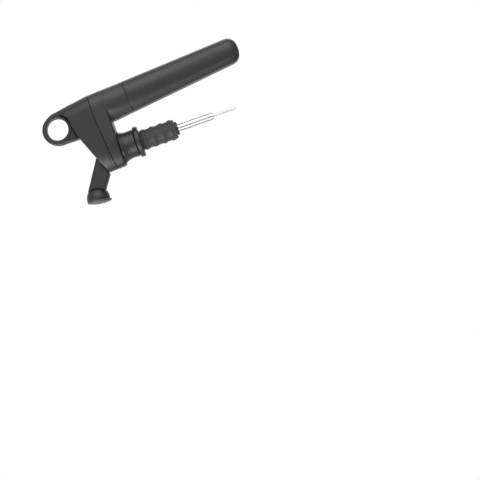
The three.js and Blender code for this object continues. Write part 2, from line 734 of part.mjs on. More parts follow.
function spoutNozzle() {
  const groove = solid(pipe(spout.radius + overrun, spout.radius - spout.sealWire,
    spout.sealAt - spout.sealWire - gap, spout.sealAt + spout.sealWire + gap));
  return cut(solid(pipe(spout.radius, spout.bore, -spout.inside, spout.length)), groove);
}

piece('spout_nozzle', spoutNozzle(), plastic(whitePlastic), spoutFrame);
piece('nozzle_seal', solid(wireRing(spout.radius - gap / 2, spout.sealWire - gap, spout.sealAt)),
  rubber(), spoutFrame);

const toSpout = spoutFrame.matrixWorld.clone().invert();

// The shower's own frame: its origin is the middle of the face, and +Z runs back into the dome.
const faceFrame = new THREE.Matrix4()
  .makeTranslation(aerator.faceX, 0, aerator.domeZ)
  .multiply(new THREE.Matrix4().makeRotationY(Math.PI / 2 + aerator.faceLean));
const faceInSpout = toSpout.clone().multiply(faceFrame);

function atFace(geometry) {
  return geometry.applyMatrix4(faceInSpout);
}

function domeBall(inset) {
  return new THREE.SphereGeometry(aerator.dome - inset, 24, 14)
    .translate(aerator.domeX, 0, aerator.domeZ)
    .applyMatrix4(toSpout);
}

function aeratorHousing() {
  const end = new THREE.Vector3(aerator.domeX, 0, aerator.domeZ).applyMatrix4(toSpout).z;
  const { rootRadius, neckRadius, skin, fit } = aerator;
  const sleeve = solid(turned([
    [0, -overrun], [rootRadius, -overrun], [rootRadius, 0], [neckRadius, end], [0, end],
  ]));
  const front = solid(atFace(rod(2 * aerator.dome, aerator.plateHeight, 2 * aerator.dome)));
  const outer = join(sleeve, solid(domeBall(0)).intersect(front));
  const room = solid(domeBall(skin)).intersect(
    solid(atFace(rod(2 * aerator.dome, aerator.plateHeight - overrun, 2 * aerator.dome))));
  const spigotWay = solid(atFace(rod(
    aerator.spigotRadius + gap, -overrun, aerator.plateHeight + aerator.spigotHeight + gap)));
  const belowRoof = slab(polygon([
    [farLeft, roofZ(farLeft)], [roof.highX, roof.highZ], [roof.highX, 0], [farLeft, 0],
  ]), 2 * head.seamDepth + overrun);
  const lifted = belowRoof.translate(-aerator.shadowGap / 2, 0, aerator.shadowGap);
  return cut(
    outer,
    solid(lifted.applyMatrix4(toSpout)),
    room,
    spigotWay,
    solid(rod(spout.radius + fit, -overrun, end)),
    solid(rod(neckRadius - skin, spout.length, end)));
}

function showerPlate() {
  const { plateRadius, plateHeight, plateEdge, plateBulge, spigotRadius, spigotHeight } = aerator;
  const faceShares = [0, 0.2, 0.4, 0.6, 0.8];
  const disc = solid(turned([
    ...faceShares.map((share) => [(plateRadius - plateEdge) * share, -plateBulge * (1 - share ** 2)]),
    ...corner(plateRadius - plateEdge, plateEdge, plateEdge, -90, 0, 2),
    ...corner(plateRadius - plateEdge, plateHeight - plateEdge, plateEdge, 0, 90, 2),
    [spigotRadius, plateHeight], [spigotRadius, plateHeight + spigotHeight], [0, plateHeight + spigotHeight],
  ]));
  const through = () => rod(shower.hole, -overrun, plateHeight + spigotHeight + overrun, 6);
  const holes = [solid(through())];
  for (const [radius, count] of shower.rings) {
    for (let k = 0; k < count; k++) {
      const turn = (2 * Math.PI * k) / count;
      holes.push(solid(through().translate(radius * Math.cos(turn), radius * Math.sin(turn), 0)));
    }
  }
  return cut(disc, ...holes);
}

piece('aerator_housing', aeratorHousing(), plastic(darkPlastic), spoutFrame);

const faceGroup = new THREE.Group();
faceGroup.applyMatrix4(faceInSpout);
spoutFrame.add(faceGroup);
piece('shower_plate', showerPlate(), plastic(greyPlastic), faceGroup);

// The diffuser breaks the stream up just before the shower: a ported disc on the nozzle's end.
function flowDiffuser() {
  const low = spout.length + gap;
  const disc = solid(rod(aerator.neckRadius - aerator.skin - gap, low, low + diffuser.height));
  const stem = solid(rod(diffuser.stemRadius, low, low + diffuser.height + diffuser.stemHeight, 12));
  const ports = Array.from({ length: diffuser.ports }, (_, k) => {
    const turn = (2 * Math.PI * k) / diffuser.ports;
    return solid(rod(diffuser.port, low - overrun, low + overrun, 8)
      .translate(diffuser.portCircle * Math.cos(turn), diffuser.portCircle * Math.sin(turn), 0));
  });
  return cut(join(disc, stem), ...ports);
}

piece('flow_diffuser', flowDiffuser(), plastic(whitePlastic), spoutFrame);

// Capsule and the cup that screws it on to the piercing pin

const capsuleBottomS = capsule.topS - capsule.length;
const cupBore = capsule.radius + cup.capsuleClearance;
const socketBore = socket.threadRadius + cup.threadClearance;
const socketLength = capsule.neckLength - capsule.topS - gap;
const padLowS = capsuleBottomS - gap - cup.padHeight;
const cupEndS = padLowS - gap - cup.tipThickness;

function gasCapsule() {
  const { radius, thickness, neckRadius, neckLength, shoulder, pierced, topS, bottomRound } = capsule;
  const neckS = topS - neckLength;
  const shoulderS = neckS - shoulder;
  const roundS = capsuleBottomS + bottomRound;
  const inner = radius - thickness;
  return solid(turned([
    [0, capsuleBottomS],
    ...corner(radius - bottomRound, roundS, bottomRound, -90, 0),
    ...[0, 30, 60, 90].map((angle) => [
      neckRadius + (radius - neckRadius) * Math.cos(angle * degree),
      shoulderS + shoulder * Math.sin(angle * degree),
    ]),
    [neckRadius, topS],
    [pierced, topS],
    [pierced, topS - thickness],
    [neckRadius - thickness, topS - thickness],
    [neckRadius - thickness, neckS],
    [inner, shoulderS],
    [inner, roundS],
    [0, capsuleBottomS + thickness],
  ]));
}

function capsulePad() {
  const { radius, bottomRound } = capsule;
  const rise = bottomRound + gap;
  const dish = corner(radius - bottomRound, capsuleBottomS + bottomRound, rise, -90, -30, 2).reverse();
  return solid(turned([
    [0, padLowS], [radius, padLowS], [radius, dish[0][1]], ...dish, [0, capsuleBottomS - gap],
  ]));
}

function capsuleCup() {
  const mouth = socketLength + gap;
  return cut(
    solid(cupForm()),
    solid(rod(socketBore, -mouth, overrun, roundSides)),
    solid(rod(cupBore, padLowS - gap, overrun, roundSides)));
}

piece('gas_capsule', gasCapsule(), metal(steel), handleFrame);
piece('capsule_pad', capsulePad(), rubber(), handleFrame);
piece('capsule_cup', capsuleCup(), plastic(charcoal), handleFrame);

// Threaded socket, piercing pin and pressure regulator, all on the handle's axis

const gasketTopS = capsule.topS + gap + gasket.height;
const noseEndS = gasketTopS + gap;

function threadedSocket() {
  const groove = solid(pipe(socket.threadRadius + overrun, socket.threadRadius - 2 * socket.ringWire - gap,
    socket.ringS - socket.ringWire - gap, socket.ringS + socket.ringWire + gap, roundSides));
  return cut(solid(turned([
    [socket.bore, -socketLength], [socket.threadRadius, -socketLength], [socket.threadRadius, -seam],
    [socket.noseBore, -seam], [socket.noseBore, noseEndS], [socket.bore, noseEndS],
  ])), groove);
}

function regulatorBody() {
  const { radius, baseS, length, nose, chamber, chamberFloor, stemRadius } = regulator;
  const top = baseS + length;
  return solid(turned([
    [stemRadius + gap, noseEndS + pin.baseHeight + gap],
    [pin.baseRadius + gap, noseEndS + pin.baseHeight + gap],
    [pin.baseRadius + gap, noseEndS],
    [nose, noseEndS],
    [nose, gap],
    [radius, gap],
    [radius, top],
    [chamber, top],
    [chamber, baseS + chamberFloor],
    [stemRadius + gap, baseS + chamberFloor],
  ]));
}

function regulatorCap() {
  const { radius, baseS, length, capHeight, capKey, chamber } = regulator;
  const top = baseS + length;
  const key = solid(rod(capKey, top + gap + capHeight / 3, top + overrun, 6));
  const bore = solid(rod(gasLine.radius / 2, top - overrun, top + overrun, 10));
  return cut(join(
    solid(rod(radius, top + gap, top + capHeight, roundSides)),
    solid(rod(chamber - gap, top - capHeight / 3, top + capHeight))), key, bore);
}

function regulatorPiston() {
  const { baseS, chamber, chamberFloor, pistonHeight, pistonClearance, sealWire, stemRadius } = regulator;
  const low = baseS + chamberFloor + gap;
  const middle = low + pistonHeight / 2;
  const radius = chamber - pistonClearance;
  const groove = solid(pipe(chamber + overrun, radius - 2 * sealWire - gap,
    middle - sealWire - gap, middle + sealWire + gap));
  return join(
    cut(solid(rod(radius, low, low + pistonHeight)), groove),
    solid(rod(stemRadius, noseEndS + pin.baseHeight + 2 * gap, low + gap, 12)));
}

function piercingPin() {
  const tip = capsule.topS - pin.pierce;
  const { radius, baseRadius, baseHeight } = pin;
  return solid(turned([
    [0, tip], [radius, tip + 2 * radius], [radius, noseEndS], [baseRadius, noseEndS],
    [baseRadius, noseEndS + baseHeight], [0, noseEndS + baseHeight],
  ], 12));
}

const chamberFloorS = regulator.baseS + regulator.chamberFloor;
const pistonTopS = chamberFloorS + gap + regulator.pistonHeight;
const regulatorTopS = regulator.baseS + regulator.length;
piece('threaded_socket', threadedSocket(), plastic(greyPlastic), handleFrame);
piece('cup_seal', solid(wireRing(
  socket.threadRadius - socket.ringWire + gap / 2, socket.ringWire, socket.ringS, roundSides)),
  rubber(), handleFrame);
piece('capsule_gasket', solid(pipe(socket.bore - gap, gasket.bore, capsule.topS + gap, gasketTopS)),
  rubber(), handleFrame);
piece('piercing_pin', piercingPin(), metal(steel), handleFrame);
piece('regulator_body', regulatorBody(), metal(brass), handleFrame);
piece('regulator_cap', regulatorCap(), metal(brass), handleFrame);
piece('regulator_piston', regulatorPiston(), metal(brass), handleFrame);
piece('piston_seal', solid(wireRing(regulator.chamber - regulator.pistonClearance - regulator.sealWire,
  regulator.sealWire, chamberFloorS + gap + regulator.pistonHeight / 2)), rubber(), handleFrame);
piece('regulator_spring', solid(coil(regulator.springRadius, regulator.springWire, pistonTopS + gap / 2,
  regulatorTopS - regulator.capHeight / 3 - gap / 2, regulator.springTurns)), metal(steel), handleFrame);

// Gas line: up out of the regulator's cap, round a bend and along to the valve block

function gasLinePipe() {
  const capTopS = regulatorTopS + regulator.capHeight;
  const start = new THREE.Vector3(0, 0, capTopS + gap).applyMatrix4(handleFrame.matrixWorld);
  const path = new THREE.CurvePath();
  const bendX = start.x - gasLine.bend;
  const bendZ = gasLine.z - gasLine.bend;
  const top = new THREE.Vector3(start.x, 0, bendZ);
  const turnIn = new THREE.Vector3(start.x, 0, gasLine.z);
  const side = new THREE.Vector3(bendX, 0, gasLine.z);
  const end = new THREE.Vector3(block.highX - wall + gap, 0, gasLine.z);
  path.add(new THREE.LineCurve3(start, top));
  path.add(new THREE.QuadraticBezierCurve3(top, turnIn, side));
  path.add(new THREE.LineCurve3(side, end));
  const section = new THREE.Shape().absarc(0, 0, gasLine.radius, 0, 2 * Math.PI);
  section.holes.push(new THREE.Path().absarc(0, 0, gasLine.radius / 2, 0, 2 * Math.PI));
  return solid(new THREE.ExtrudeGeometry(section, {
    steps: gasLine.steps, curveSegments: gasLine.sides / 2, bevelEnabled: false, extrudePath: path,
  }));
}

piece('gas_line', gasLinePipe(), metal(steel));

export default dispenser;
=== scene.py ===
"""Looks for a hand-held wine preservation dispenser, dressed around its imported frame.

Sizes named here are millimetres, and each mesh is made in metres in the row frame.
"""
import json
import math

import bmesh
import bpy
import numpy as np
from mathutils import Matrix, Vector


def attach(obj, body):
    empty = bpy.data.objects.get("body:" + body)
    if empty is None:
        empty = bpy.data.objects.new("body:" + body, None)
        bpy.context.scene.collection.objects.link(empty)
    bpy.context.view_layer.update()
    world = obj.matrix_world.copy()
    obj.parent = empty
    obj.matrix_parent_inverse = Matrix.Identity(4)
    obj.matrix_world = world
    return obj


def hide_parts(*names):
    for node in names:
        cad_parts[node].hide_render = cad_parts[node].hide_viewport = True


bl_info = {
    "name": "Wine preservation dispenser",
    "version": (1, 0, 0),
    "blender": (4, 5, 0),
    "location": "View3D > Sidebar > Dispenser",
    "description": "Builds the dispenser's moulded, turned and rubber pieces on its frame",
    "category": "Object",
}

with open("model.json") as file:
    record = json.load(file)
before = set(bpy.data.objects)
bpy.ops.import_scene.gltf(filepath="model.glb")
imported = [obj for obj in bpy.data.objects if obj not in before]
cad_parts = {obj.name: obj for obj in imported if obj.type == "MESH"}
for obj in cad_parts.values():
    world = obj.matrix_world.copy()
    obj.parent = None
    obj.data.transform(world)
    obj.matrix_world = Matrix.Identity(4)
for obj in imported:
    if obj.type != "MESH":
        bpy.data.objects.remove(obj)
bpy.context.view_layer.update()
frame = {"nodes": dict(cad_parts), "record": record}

MM = 0.001
DEGREE = math.pi / 180
NUDGE = 1e-9  # turns a sign at a quarter turn away from zero
TINY = 1e-12  # keeps a length that is divided by above zero
FLIP = np.array([1.0, -1.0, 1.0])  # negates y
WELD = 2e-6  # metres: points closer than this are one point
FINE_WELD = WELD / 4  # the same for a surface that a cut or a join has just made
SHARP = 34 * DEGREE
CONVEXITY_SPREAD = 0.6  # share of its convexity that a point passes on
FULL_CONVEX_TURN = 1.2  # radians: an edge that turns this much counts as fully convex
SIDE_SHARE = 0.49  # the most of a side that the rounding of one corner takes

# Sizes in millimetres, which follow the frame's solids

WALL = 2.3
GAP = 0.3
BROKEN = 0.1  # rounding of a corner that is only just broken
EASED = 0.2  # rounding of a corner that is eased
INNER_EDGE = 0.4  # rounding inside the two shells of the head
OVERRUN = 3.0  # how far a cutting tool runs past what it cuts
STOPPER = dict(
    flange=14.3, height=4.4, flange_low_edge=1.2, flange_edge=1.3, core=6.2, reach=34.0, bore=4.0,
    pocket=5.2, pocket_depth=4.0, seat=10.2, seat_step=0.8,
    plug=8.8, plug_edge=0.7, rib=9.7, ribs=4, cap=2.0, cap_bore_edge=0.4, cap_edge=0.6,
)
TUBES = dict(
    pour=3.5, pour_wall=0.7, pour_low=-70.0, pour_high=24.3,
    gas=1.2, gas_wall=0.45, gas_low=-92.0, gas_high=30.9, rim_share=0.4,
)
COLLAR = dict(
    low=4.9, high=18.9, bottom=12.8, foot_edge=0.9, waist=12.4, waist_share=0.38, top=14.7,
    lip=1.0, lip_edge=0.5, lip_inner_edge=0.3, floor=7.9, floor_rise=2.0, floor_edge=0.5,
    boss=6.4, seal=9.8, seal_top=6.5, bore=3.8, seat=19.0,
)
HEAD = dict(
    rear=19.0, seam=33.1, seam_drop=28.3, bend=30.0, seam_gap=0.35, seam_slant=0.8, top=70.1,
    near=-17.0, near_lean=0.045, near_flat=3.0, near_round=26.0, near_softness=2.0,
    far=57.6, far_lean=0.074, upper_lean=0.1485, bend_from=65.0, bend_rate=0.022, notch=0.3,
    far_round=14.4, softness=2.4, rear_depth=14.4, seam_depth=15.5, roof_depth=13.4, ring_depth=4.4,
)
ROOF = dict(low=(-17.0, 37.4), high=(20.5, 52.3), step=(40.0, 56.8), near_ring=0.2, near_top=0.01)
LOWER_SLOPE = (ROOF["high"][1] - ROOF["low"][1]) / (ROOF["high"][0] - ROOF["low"][0])
UPPER_SLOPE = (ROOF["step"][1] - ROOF["high"][1]) / (ROOF["step"][0] - ROOF["high"][0])
RING = dict(
    x=34.7, z=68.9, outer_x=34.1, hole=10.0, hole_edge=1.0, radius=14.2, half=5.0, clear=13.8,
    blend=64 * DEGREE, foot=50.0, foot_tuck=9.0, draw_in=1.4, above_roof=1.0,
    rim=2.2, side_rim=2.6, pocket=0.9, pocket_past=2.0, pocket_edge=0.5,
    groove=1.6, groove_at=0.75, groove_top=66.0, groove_fade=5.0,
)
FRAME = dict(
    socket_bore=10.0, socket_reach=(-6.0, 33.0), tube_reach=(12.0, 28.0),
    screw_x=21.5, screw_y=8.6, screw_hole=(1.5, 12.0, 33.0), screw_head=(2.5, 12.0, 20.8),
)
HANDLE = dict(
    length=110.76, mouth_half=13.9, mouth_depth=13.2, end_half=11.15, end_depth=11.6, base=27.0,
    flat=6.4, flat_reach=1.75, across=4.4, up=3.2, edge=0.35, flat_edge=0.7, side_share=0.45, softness=2.15,
    crown=2.2, tip_flat=0.85, tip_depth=5.2, tip_softness=2.6, least_share=0.001, seam=0.12,
    root_at=(1.0, 21.0), root_half=14.4, root_depth=14.75,
)
CUP = dict(
    bore=9.7, thread_bore=11.1, thread_floor=-18.0, floor=-102.1, ridge=0.35, thread_fade=1.0,
    mouth_edge=0.4, step_edge=0.3, floor_edge=0.5,
)
BUTTON = dict(
    low=35.6, high=56.0, half=7.4, corner=4.5, thickness=3.4, edge=0.7, clearance=0.4, opening=(42.0, 66.0),
    dish=34.0, dip=0.9, dish_edge=0.12, arm=(42.0, 50.5), arm_half=4.0, arm_at=36.75, arm_height_share=0.32,
    lip=1.3, lip_clear=0.4, lip_thickness=1.4,
)
SPOUT = dict(
    radius=4.0, bore=2.2, inside=-4.0, cut_from=-10.0, length=17.0, edge=0.3, tip_edge=0.6,
    groove_at=9.0, groove=1.0, groove_floor=3.3,
)
AERATOR = dict(
    root=8.1, neck=7.5, depth=0.83, softness=4.5, edge=0.9, shadow=0.2, stem_inset=1.0, stem_from=9.0,
    dome=10.7, crevice=0.6, dome_at=(-37.0, 0.0, 54.5), skin=1.6, room_tip=0.02, fit=4.35, fit_from=-8.0,
    plate=11.17, plate_height=2.2, plate_edge=0.5, plate_back_edge=0.45, bulge=1.5,
    spigot=8.4, spigot_height=1.4, spigot_from=-6.0,
    hole=0.8, hole_turn=0.1, hole_circles=((0.0, 1), (2.8, 6), (5.3, 11), (7.6, 16)),
)
CAPSULE = dict(
    radius=9.3, length=83.0, top=-12.0, neck=4.3, neck_length=6.0, neck_edge=0.5, neck_ease=0.15,
    shoulder=6.0, bottom=4.0, pierced=1.2, pierced_depth=1.3,
)
SOCKET = dict(
    radius=10.7, low=-17.7, top=-0.35, top_edge=0.3, groove_at=-2.4, groove=0.75, groove_floor=9.5,
    bore=5.0, nose=4.0, nose_top=-9.4, lead=0.4, run_out=0.6, crest_gain=1.3, crest_drop=0.15,
)


def local_frame(origin, turn):
    """Axes of a group at `origin`, turned by `turn` about +Y, as rows: origin, across, Y and along."""
    across = (math.cos(turn), 0.0, -math.sin(turn))
    along = (math.sin(turn), 0.0, math.cos(turn))
    return np.array([origin, across, (0.0, 1.0, 0.0), along])


ALONG_HANDLE = local_frame((43.3, 0.0, -1.5), -4.9 * DEGREE)
ALONG_SPOUT = local_frame((-10.6, 0.0, 40.4), -56.3 * DEGREE)
AT_FACE = local_frame((-40.9, 0.0, 54.5), 98.5 * DEGREE)
DOME_AT = np.array(AERATOR["dome_at"])


class DispenserSizes(bpy.types.PropertyGroup):
    """Sizes that finish the pieces without moving them."""

    shell_edge: bpy.props.FloatProperty(
        name="Shell edge", description="Rounding where the head's sides meet its roof",
        default=1.1 * MM, min=0.0, unit="LENGTH")
    rear_edge: bpy.props.FloatProperty(
        name="Rear edge", description="Rounding round the head's underside",
        default=2.8 * MM, min=0.0, unit="LENGTH")
    seam_edge: bpy.props.FloatProperty(
        name="Seam edge", description="Rounding of the mouldings along their open seams",
        default=0.35 * MM, min=0.0, unit="LENGTH")
    frame_rim: bpy.props.FloatProperty(
        name="Frame rim", description="Rounding of the rear frame along the parting line",
        default=0.5 * MM, min=0.0, unit="LENGTH")
    turned_edge: bpy.props.FloatProperty(
        name="Turned edge", description="Rounding of the small turned edges",
        default=0.4 * MM, min=0.0, unit="LENGTH")
    ring_edge: bpy.props.FloatProperty(
        name="Ring edge", description="Rounding of the hanging ring's outer edge",
        default=1.7 * MM, min=0.0, unit="LENGTH")
    thread_pitch: bpy.props.FloatProperty(
        name="Thread pitch", description="Rise of the socket's thread in one turn",
        default=1.5 * MM, min=0.5 * MM, unit="LENGTH")
    thread_depth: bpy.props.FloatProperty(
        name="Thread depth", description="Depth of the socket's thread",
        default=0.7 * MM, min=0.0, unit="LENGTH")
    grain: bpy.props.FloatProperty(
        name="Grain", description="Size of the moulded plastic's fine grain",
        default=0.45 * MM, min=0.05 * MM, unit="LENGTH")


class DispenserFinishes(bpy.types.PropertyGroup):
    """Colours of the dispenser's finishes, in linear light."""

    charcoal: bpy.props.FloatVectorProperty(
        name="Charcoal", description="Shells, collar and stopper flange",
        default=(0.008, 0.008, 0.0081), subtype="COLOR", min=0.0, max=1.0)
    dark: bpy.props.FloatVectorProperty(
        name="Dark grey", description="Button, aerator and end cap",
        default=(0.007, 0.007, 0.0071), subtype="COLOR", min=0.0, max=1.0)
    grey: bpy.props.FloatVectorProperty(
        name="Mid grey", description="Shower plate, spool and socket",
        default=(0.03, 0.0305, 0.032), subtype="COLOR", min=0.0, max=1.0)
    white: bpy.props.FloatVectorProperty(
        name="White", description="Valve block, nozzle and diffuser",
        default=(0.68, 0.68, 0.65), subtype="COLOR", min=0.0, max=1.0)
    rubber: bpy.props.FloatVectorProperty(
        name="Rubber", description="Plug and seals",
        default=(0.012, 0.012, 0.0125), subtype="COLOR", min=0.0, max=1.0)
    steel: bpy.props.FloatVectorProperty(
        name="Steel", description="Tubes, capsule, springs and screws",
        default=(0.36, 0.365, 0.37), subtype="COLOR", min=0.0, max=1.0)
    brass: bpy.props.FloatVectorProperty(
        name="Brass", description="Regulator and gland",
        default=(0.43, 0.27, 0.07), subtype="COLOR", min=0.0, max=1.0)
    floor: bpy.props.FloatVectorProperty(
        name="Floor", description="The floor under the part",
        default=(0.9, 0.9, 0.9), subtype="COLOR", min=0.0, max=1.0)


def sizes():
    """The scene's sizes, in metres."""
    return bpy.context.scene.dispenser_sizes


def finishes():
    """The scene's colours."""
    return bpy.context.scene.dispenser_finishes


# Surfaces


def smooth(share):
    """The smooth step 3 t^2 - 2 t^3 of a share held between 0 and 1."""
    t = np.clip(share, 0.0, 1.0)
    return t * t * (3 - 2 * t)


def unit(vectors):
    """Each vector divided by its own length."""
    length = np.linalg.norm(vectors, axis=-1, keepdims=True)
    return vectors / np.maximum(length, TINY)


def placed(points, axes):
    """Origin + x times across + y times Y + z times along, for points in a local frame's own numbers."""
    return axes[0] + points @ axes[1:]


def local(points, axes):
    """The numbers of points in a local frame: their offset from its origin, dotted with each of its axes."""
    return (points - axes[0]) @ axes[1:].T


def mirrored(half):
    """A half section in y >= 0, from end to end, closed by its points in reverse order with y negated."""
    other = half[..., 1:-1, :][..., ::-1, :] * FLIP
    return np.concatenate([half, other], axis=-2)


def quads(rows, columns, wrap_rows=False, wrap_columns=False):
    """Corner (i, j) of a grid joins (i, j + 1), (i + 1, j + 1) and (i + 1, j), or the first if it wraps."""
    i, j = np.meshgrid(
        np.arange(rows if wrap_rows else rows - 1),
        np.arange(columns if wrap_columns else columns - 1), indexing="ij")
    below, beside = (i + 1) % rows, (j + 1) % columns
    corners = [i * columns + j, i * columns + beside, below * columns + beside, below * columns + j]
    return np.stack(corners, axis=-1).reshape(-1, 4)


def grid(points, wrap_rows=False, wrap_columns=True):
    """A surface as (points, quads) from points laid out in rows and columns."""
    rows, columns = points.shape[:2]
    return points.reshape(-1, 3), quads(rows, columns, wrap_rows, wrap_columns)


def softened(corners, steps=5):
    """A closed outline of (x, z, rounding), where each corner becomes the quadratic curve

    (1 - t)^2 a + 2 t (1 - t) corner + t^2 b, where a and b lie `rounding` from the corner on its two sides.
    """
    corners = np.array(corners, float)
    at, size = corners[:, :2], corners[:, 2:]
    before, after = np.roll(at, 1, 0) - at, np.roll(at, -1, 0) - at
    shorter = np.minimum(np.linalg.norm(before, axis=1), np.linalg.norm(after, axis=1))[:, None]
    size = np.minimum(size, SIDE_SHARE * shorter)
    start, end = at + unit(before) * size, at + unit(after) * size
    t = np.linspace(0.0, 1.0, steps)[None, :, None]
    curve = (1 - t) ** 2 * start[:, None] + 2 * t * (1 - t) * at[:, None] + t ** 2 * end[:, None]
    return curve.reshape(-1, 2)


def circle(radius, height, turn):
    """Points at the angles `turn` of a circle about +Z: x = radius cos turn, y = radius sin turn."""
    return np.stack([radius * np.cos(turn), radius * np.sin(turn), height + 0 * turn], axis=-1)


def circles(corners, turn):
    """One circle at the angles `turn` for each (radius, height) of a list."""
    return np.stack([circle(radius, height, turn) for radius, height in corners])


def turned(outline, sides=96):
    """A closed outline of (radius, height) turned about +Z, one circle for each of its points."""
    angle = np.linspace(0.0, 2 * math.pi, sides, endpoint=False)
    return grid(circle(outline[:, :1], outline[:, 1:], angle), wrap_rows=bool((outline[:, 0] > 0).all()))


def rod(radius, low, high, sides=64):
    """A solid rod about +Z, as a turned outline that starts and ends on the axis."""
    return turned(np.array([(0.0, low), (radius, low), (radius, high), (0.0, high)]), sides)


def in_frame(shell, axes):
    """A shell of (points, quads) whose points are moved from a local frame to the row frame."""
    points, faces = shell
    return placed(points, axes), faces


def soft_quarter(count, softness):
    """Shares (c, s) = (cos a, sin a)^(2 / softness) over a quarter turn, from (1, 0) to (0, 1)."""
    angle = np.linspace(0.0, math.pi / 2, count)
    across = np.abs(np.cos(angle)) ** (2 / softness)
    across[..., -1] = 0.0
    return across, np.sin(angle) ** (2 / softness)


# The head's skin


def near_end(z):
    """The head's -X end in side view: a straight line that leans out with the height."""
    return HEAD["near"] - HEAD["near_lean"] * (z - HEAD["rear"])


def far_side(z):
    """The head's +X side in side view: a straight lean, a steeper one above the seam, then a parabola."""
    above = np.maximum(z - HEAD["seam"], 0.0)
    start = HEAD["far"] - HEAD["far_lean"] * HEAD["seam"] + HEAD["notch"]
    bend = HEAD["bend_rate"] * np.maximum(z - HEAD["bend_from"], 0.0) ** 2
    upper = start - HEAD["upper_lean"] * above - bend
    return np.where(z <= HEAD["seam"], HEAD["far"] - HEAD["far_lean"] * z, upper)


def half_depth(z):
    """Half the head's thickness: linear to the seam and to the roof, then a smooth step to the ring's."""
    lower = np.interp(
        z, [HEAD["rear"], HEAD["seam"], ROOF["step"][1]],
        [HEAD["rear_depth"], HEAD["seam_depth"], HEAD["roof_depth"]])
    rise = smooth((z - ROOF["step"][1]) / (HEAD["top"] - ROOF["step"][1]))
    return lower + (HEAD["ring_depth"] - HEAD["roof_depth"]) * rise


def section_columns():
    """The head's half section as sums of its named lengths, one column for each point round it.

    x = a far + b near + c far_round + d near_round and y = e depth + f flat. The columns run along the far
    quarter of a superellipse, a straight side and the near quarter of another, up to the flat near end.
    """
    far_c, far_s = soft_quarter(26, HEAD["softness"])
    near_c, near_s = (part[::-1] for part in soft_quarter(26, HEAD["near_softness"]))
    side = np.linspace(0.0, 1.0, 22)[1:-1]
    zero, one = np.zeros_like, np.ones_like
    return np.concatenate([
        np.stack([one(far_c), zero(far_c), far_c - 1, zero(far_c), far_s, zero(far_c)]),
        np.stack([1 - side, side, side - 1, side, one(side), zero(side)]),
        np.stack([zero(near_c), one(near_c), zero(near_c), 1 - near_c, near_s, 1 - near_s]),
    ], axis=1)


def head_wall(z, inset):
    """Points of the head's wall at heights z, whose last axis runs over the section's columns."""
    a, b, c, d, e, f = section_columns()
    far, near = far_side(z) - inset, near_end(z) + inset
    depth = half_depth(z) - inset
    near_round = HEAD["near_round"]
    far_round = np.minimum(HEAD["far_round"], far - near - near_round)
    x = a * far + b * near + c * far_round + d * near_round
    y = e * depth + f * np.minimum(HEAD["near_flat"], depth / 2)
    return np.stack([x, y, z + 0 * x], axis=-1)


def seam_height(x):
    """The parting line: it climbs from the near end to the bend, then runs level."""
    slope = (HEAD["seam"] - HEAD["seam_drop"]) / (HEAD["bend"] - HEAD["near"])
    return HEAD["seam"] + np.minimum(slope * (x - HEAD["bend"]), 0.0)


def on_seam(lift, inset):
    """Each column's height where the wall crosses the parting line, found by repeated substitution."""
    z = np.full(section_columns().shape[1], HEAD["seam"])
    for _ in range(4):
        z = seam_height(head_wall(z, inset)[:, 0]) + lift
    return z


def roof_slope(x):
    """The roof's rise at x: one slope up to its high point and another beyond."""
    return np.where(x < ROOF["high"][0], LOWER_SLOPE, UPPER_SLOPE)


def cleared(x, z, drop):
    """True above the roof's two slopes lowered by `drop`, or inside the ring's clearing grown by it."""
    line = ROOF["high"][1] + roof_slope(x) * (x - ROOF["high"][0])
    above = (x < ROOF["step"][0]) & (z > line - drop * math.hypot(1.0, LOWER_SLOPE))
    return above | (np.hypot(x - RING["x"], z - RING["z"]) < RING["clear"] + drop)


def on_roof(drop, inset):
    """Each column's height where the wall meets the roof, by halving between the seam and the ring."""
    low = np.full(section_columns().shape[1], HEAD["seam"])
    high = np.full_like(low, HEAD["top"] - drop / 2)
    for _ in range(40):
        middle = (low + high) / 2
        points = head_wall(middle, inset)
        over = cleared(points[:, 0], points[:, 2], drop)
        low, high = np.where(over, low, middle), np.where(over, middle, high)
    return high


def roof_normals(edge, drop):
    """The roof's outward normal at points of its edge: square to its slope, or towards the ring's middle."""
    x, z = edge[:, 0], edge[:, 2]
    flat = unit(np.stack([-roof_slope(x), 0 * x, 1 + 0 * x], axis=-1))
    reach = np.hypot(x - RING["x"], z - RING["z"])
    round_part = unit(np.stack([RING["x"] - x, 0 * x, RING["z"] - z], axis=-1))
    on_circle = (np.abs(reach - RING["clear"] - drop) < ROOF["near_ring"]) | (x > ROOF["step"][0])
    chosen = np.where(on_circle[:, None], round_part, flat)
    level = z > HEAD["top"] - drop / 2 - ROOF["near_top"]
    return np.where(level[:, None], [0.0, 0.0, 1.0], chosen)


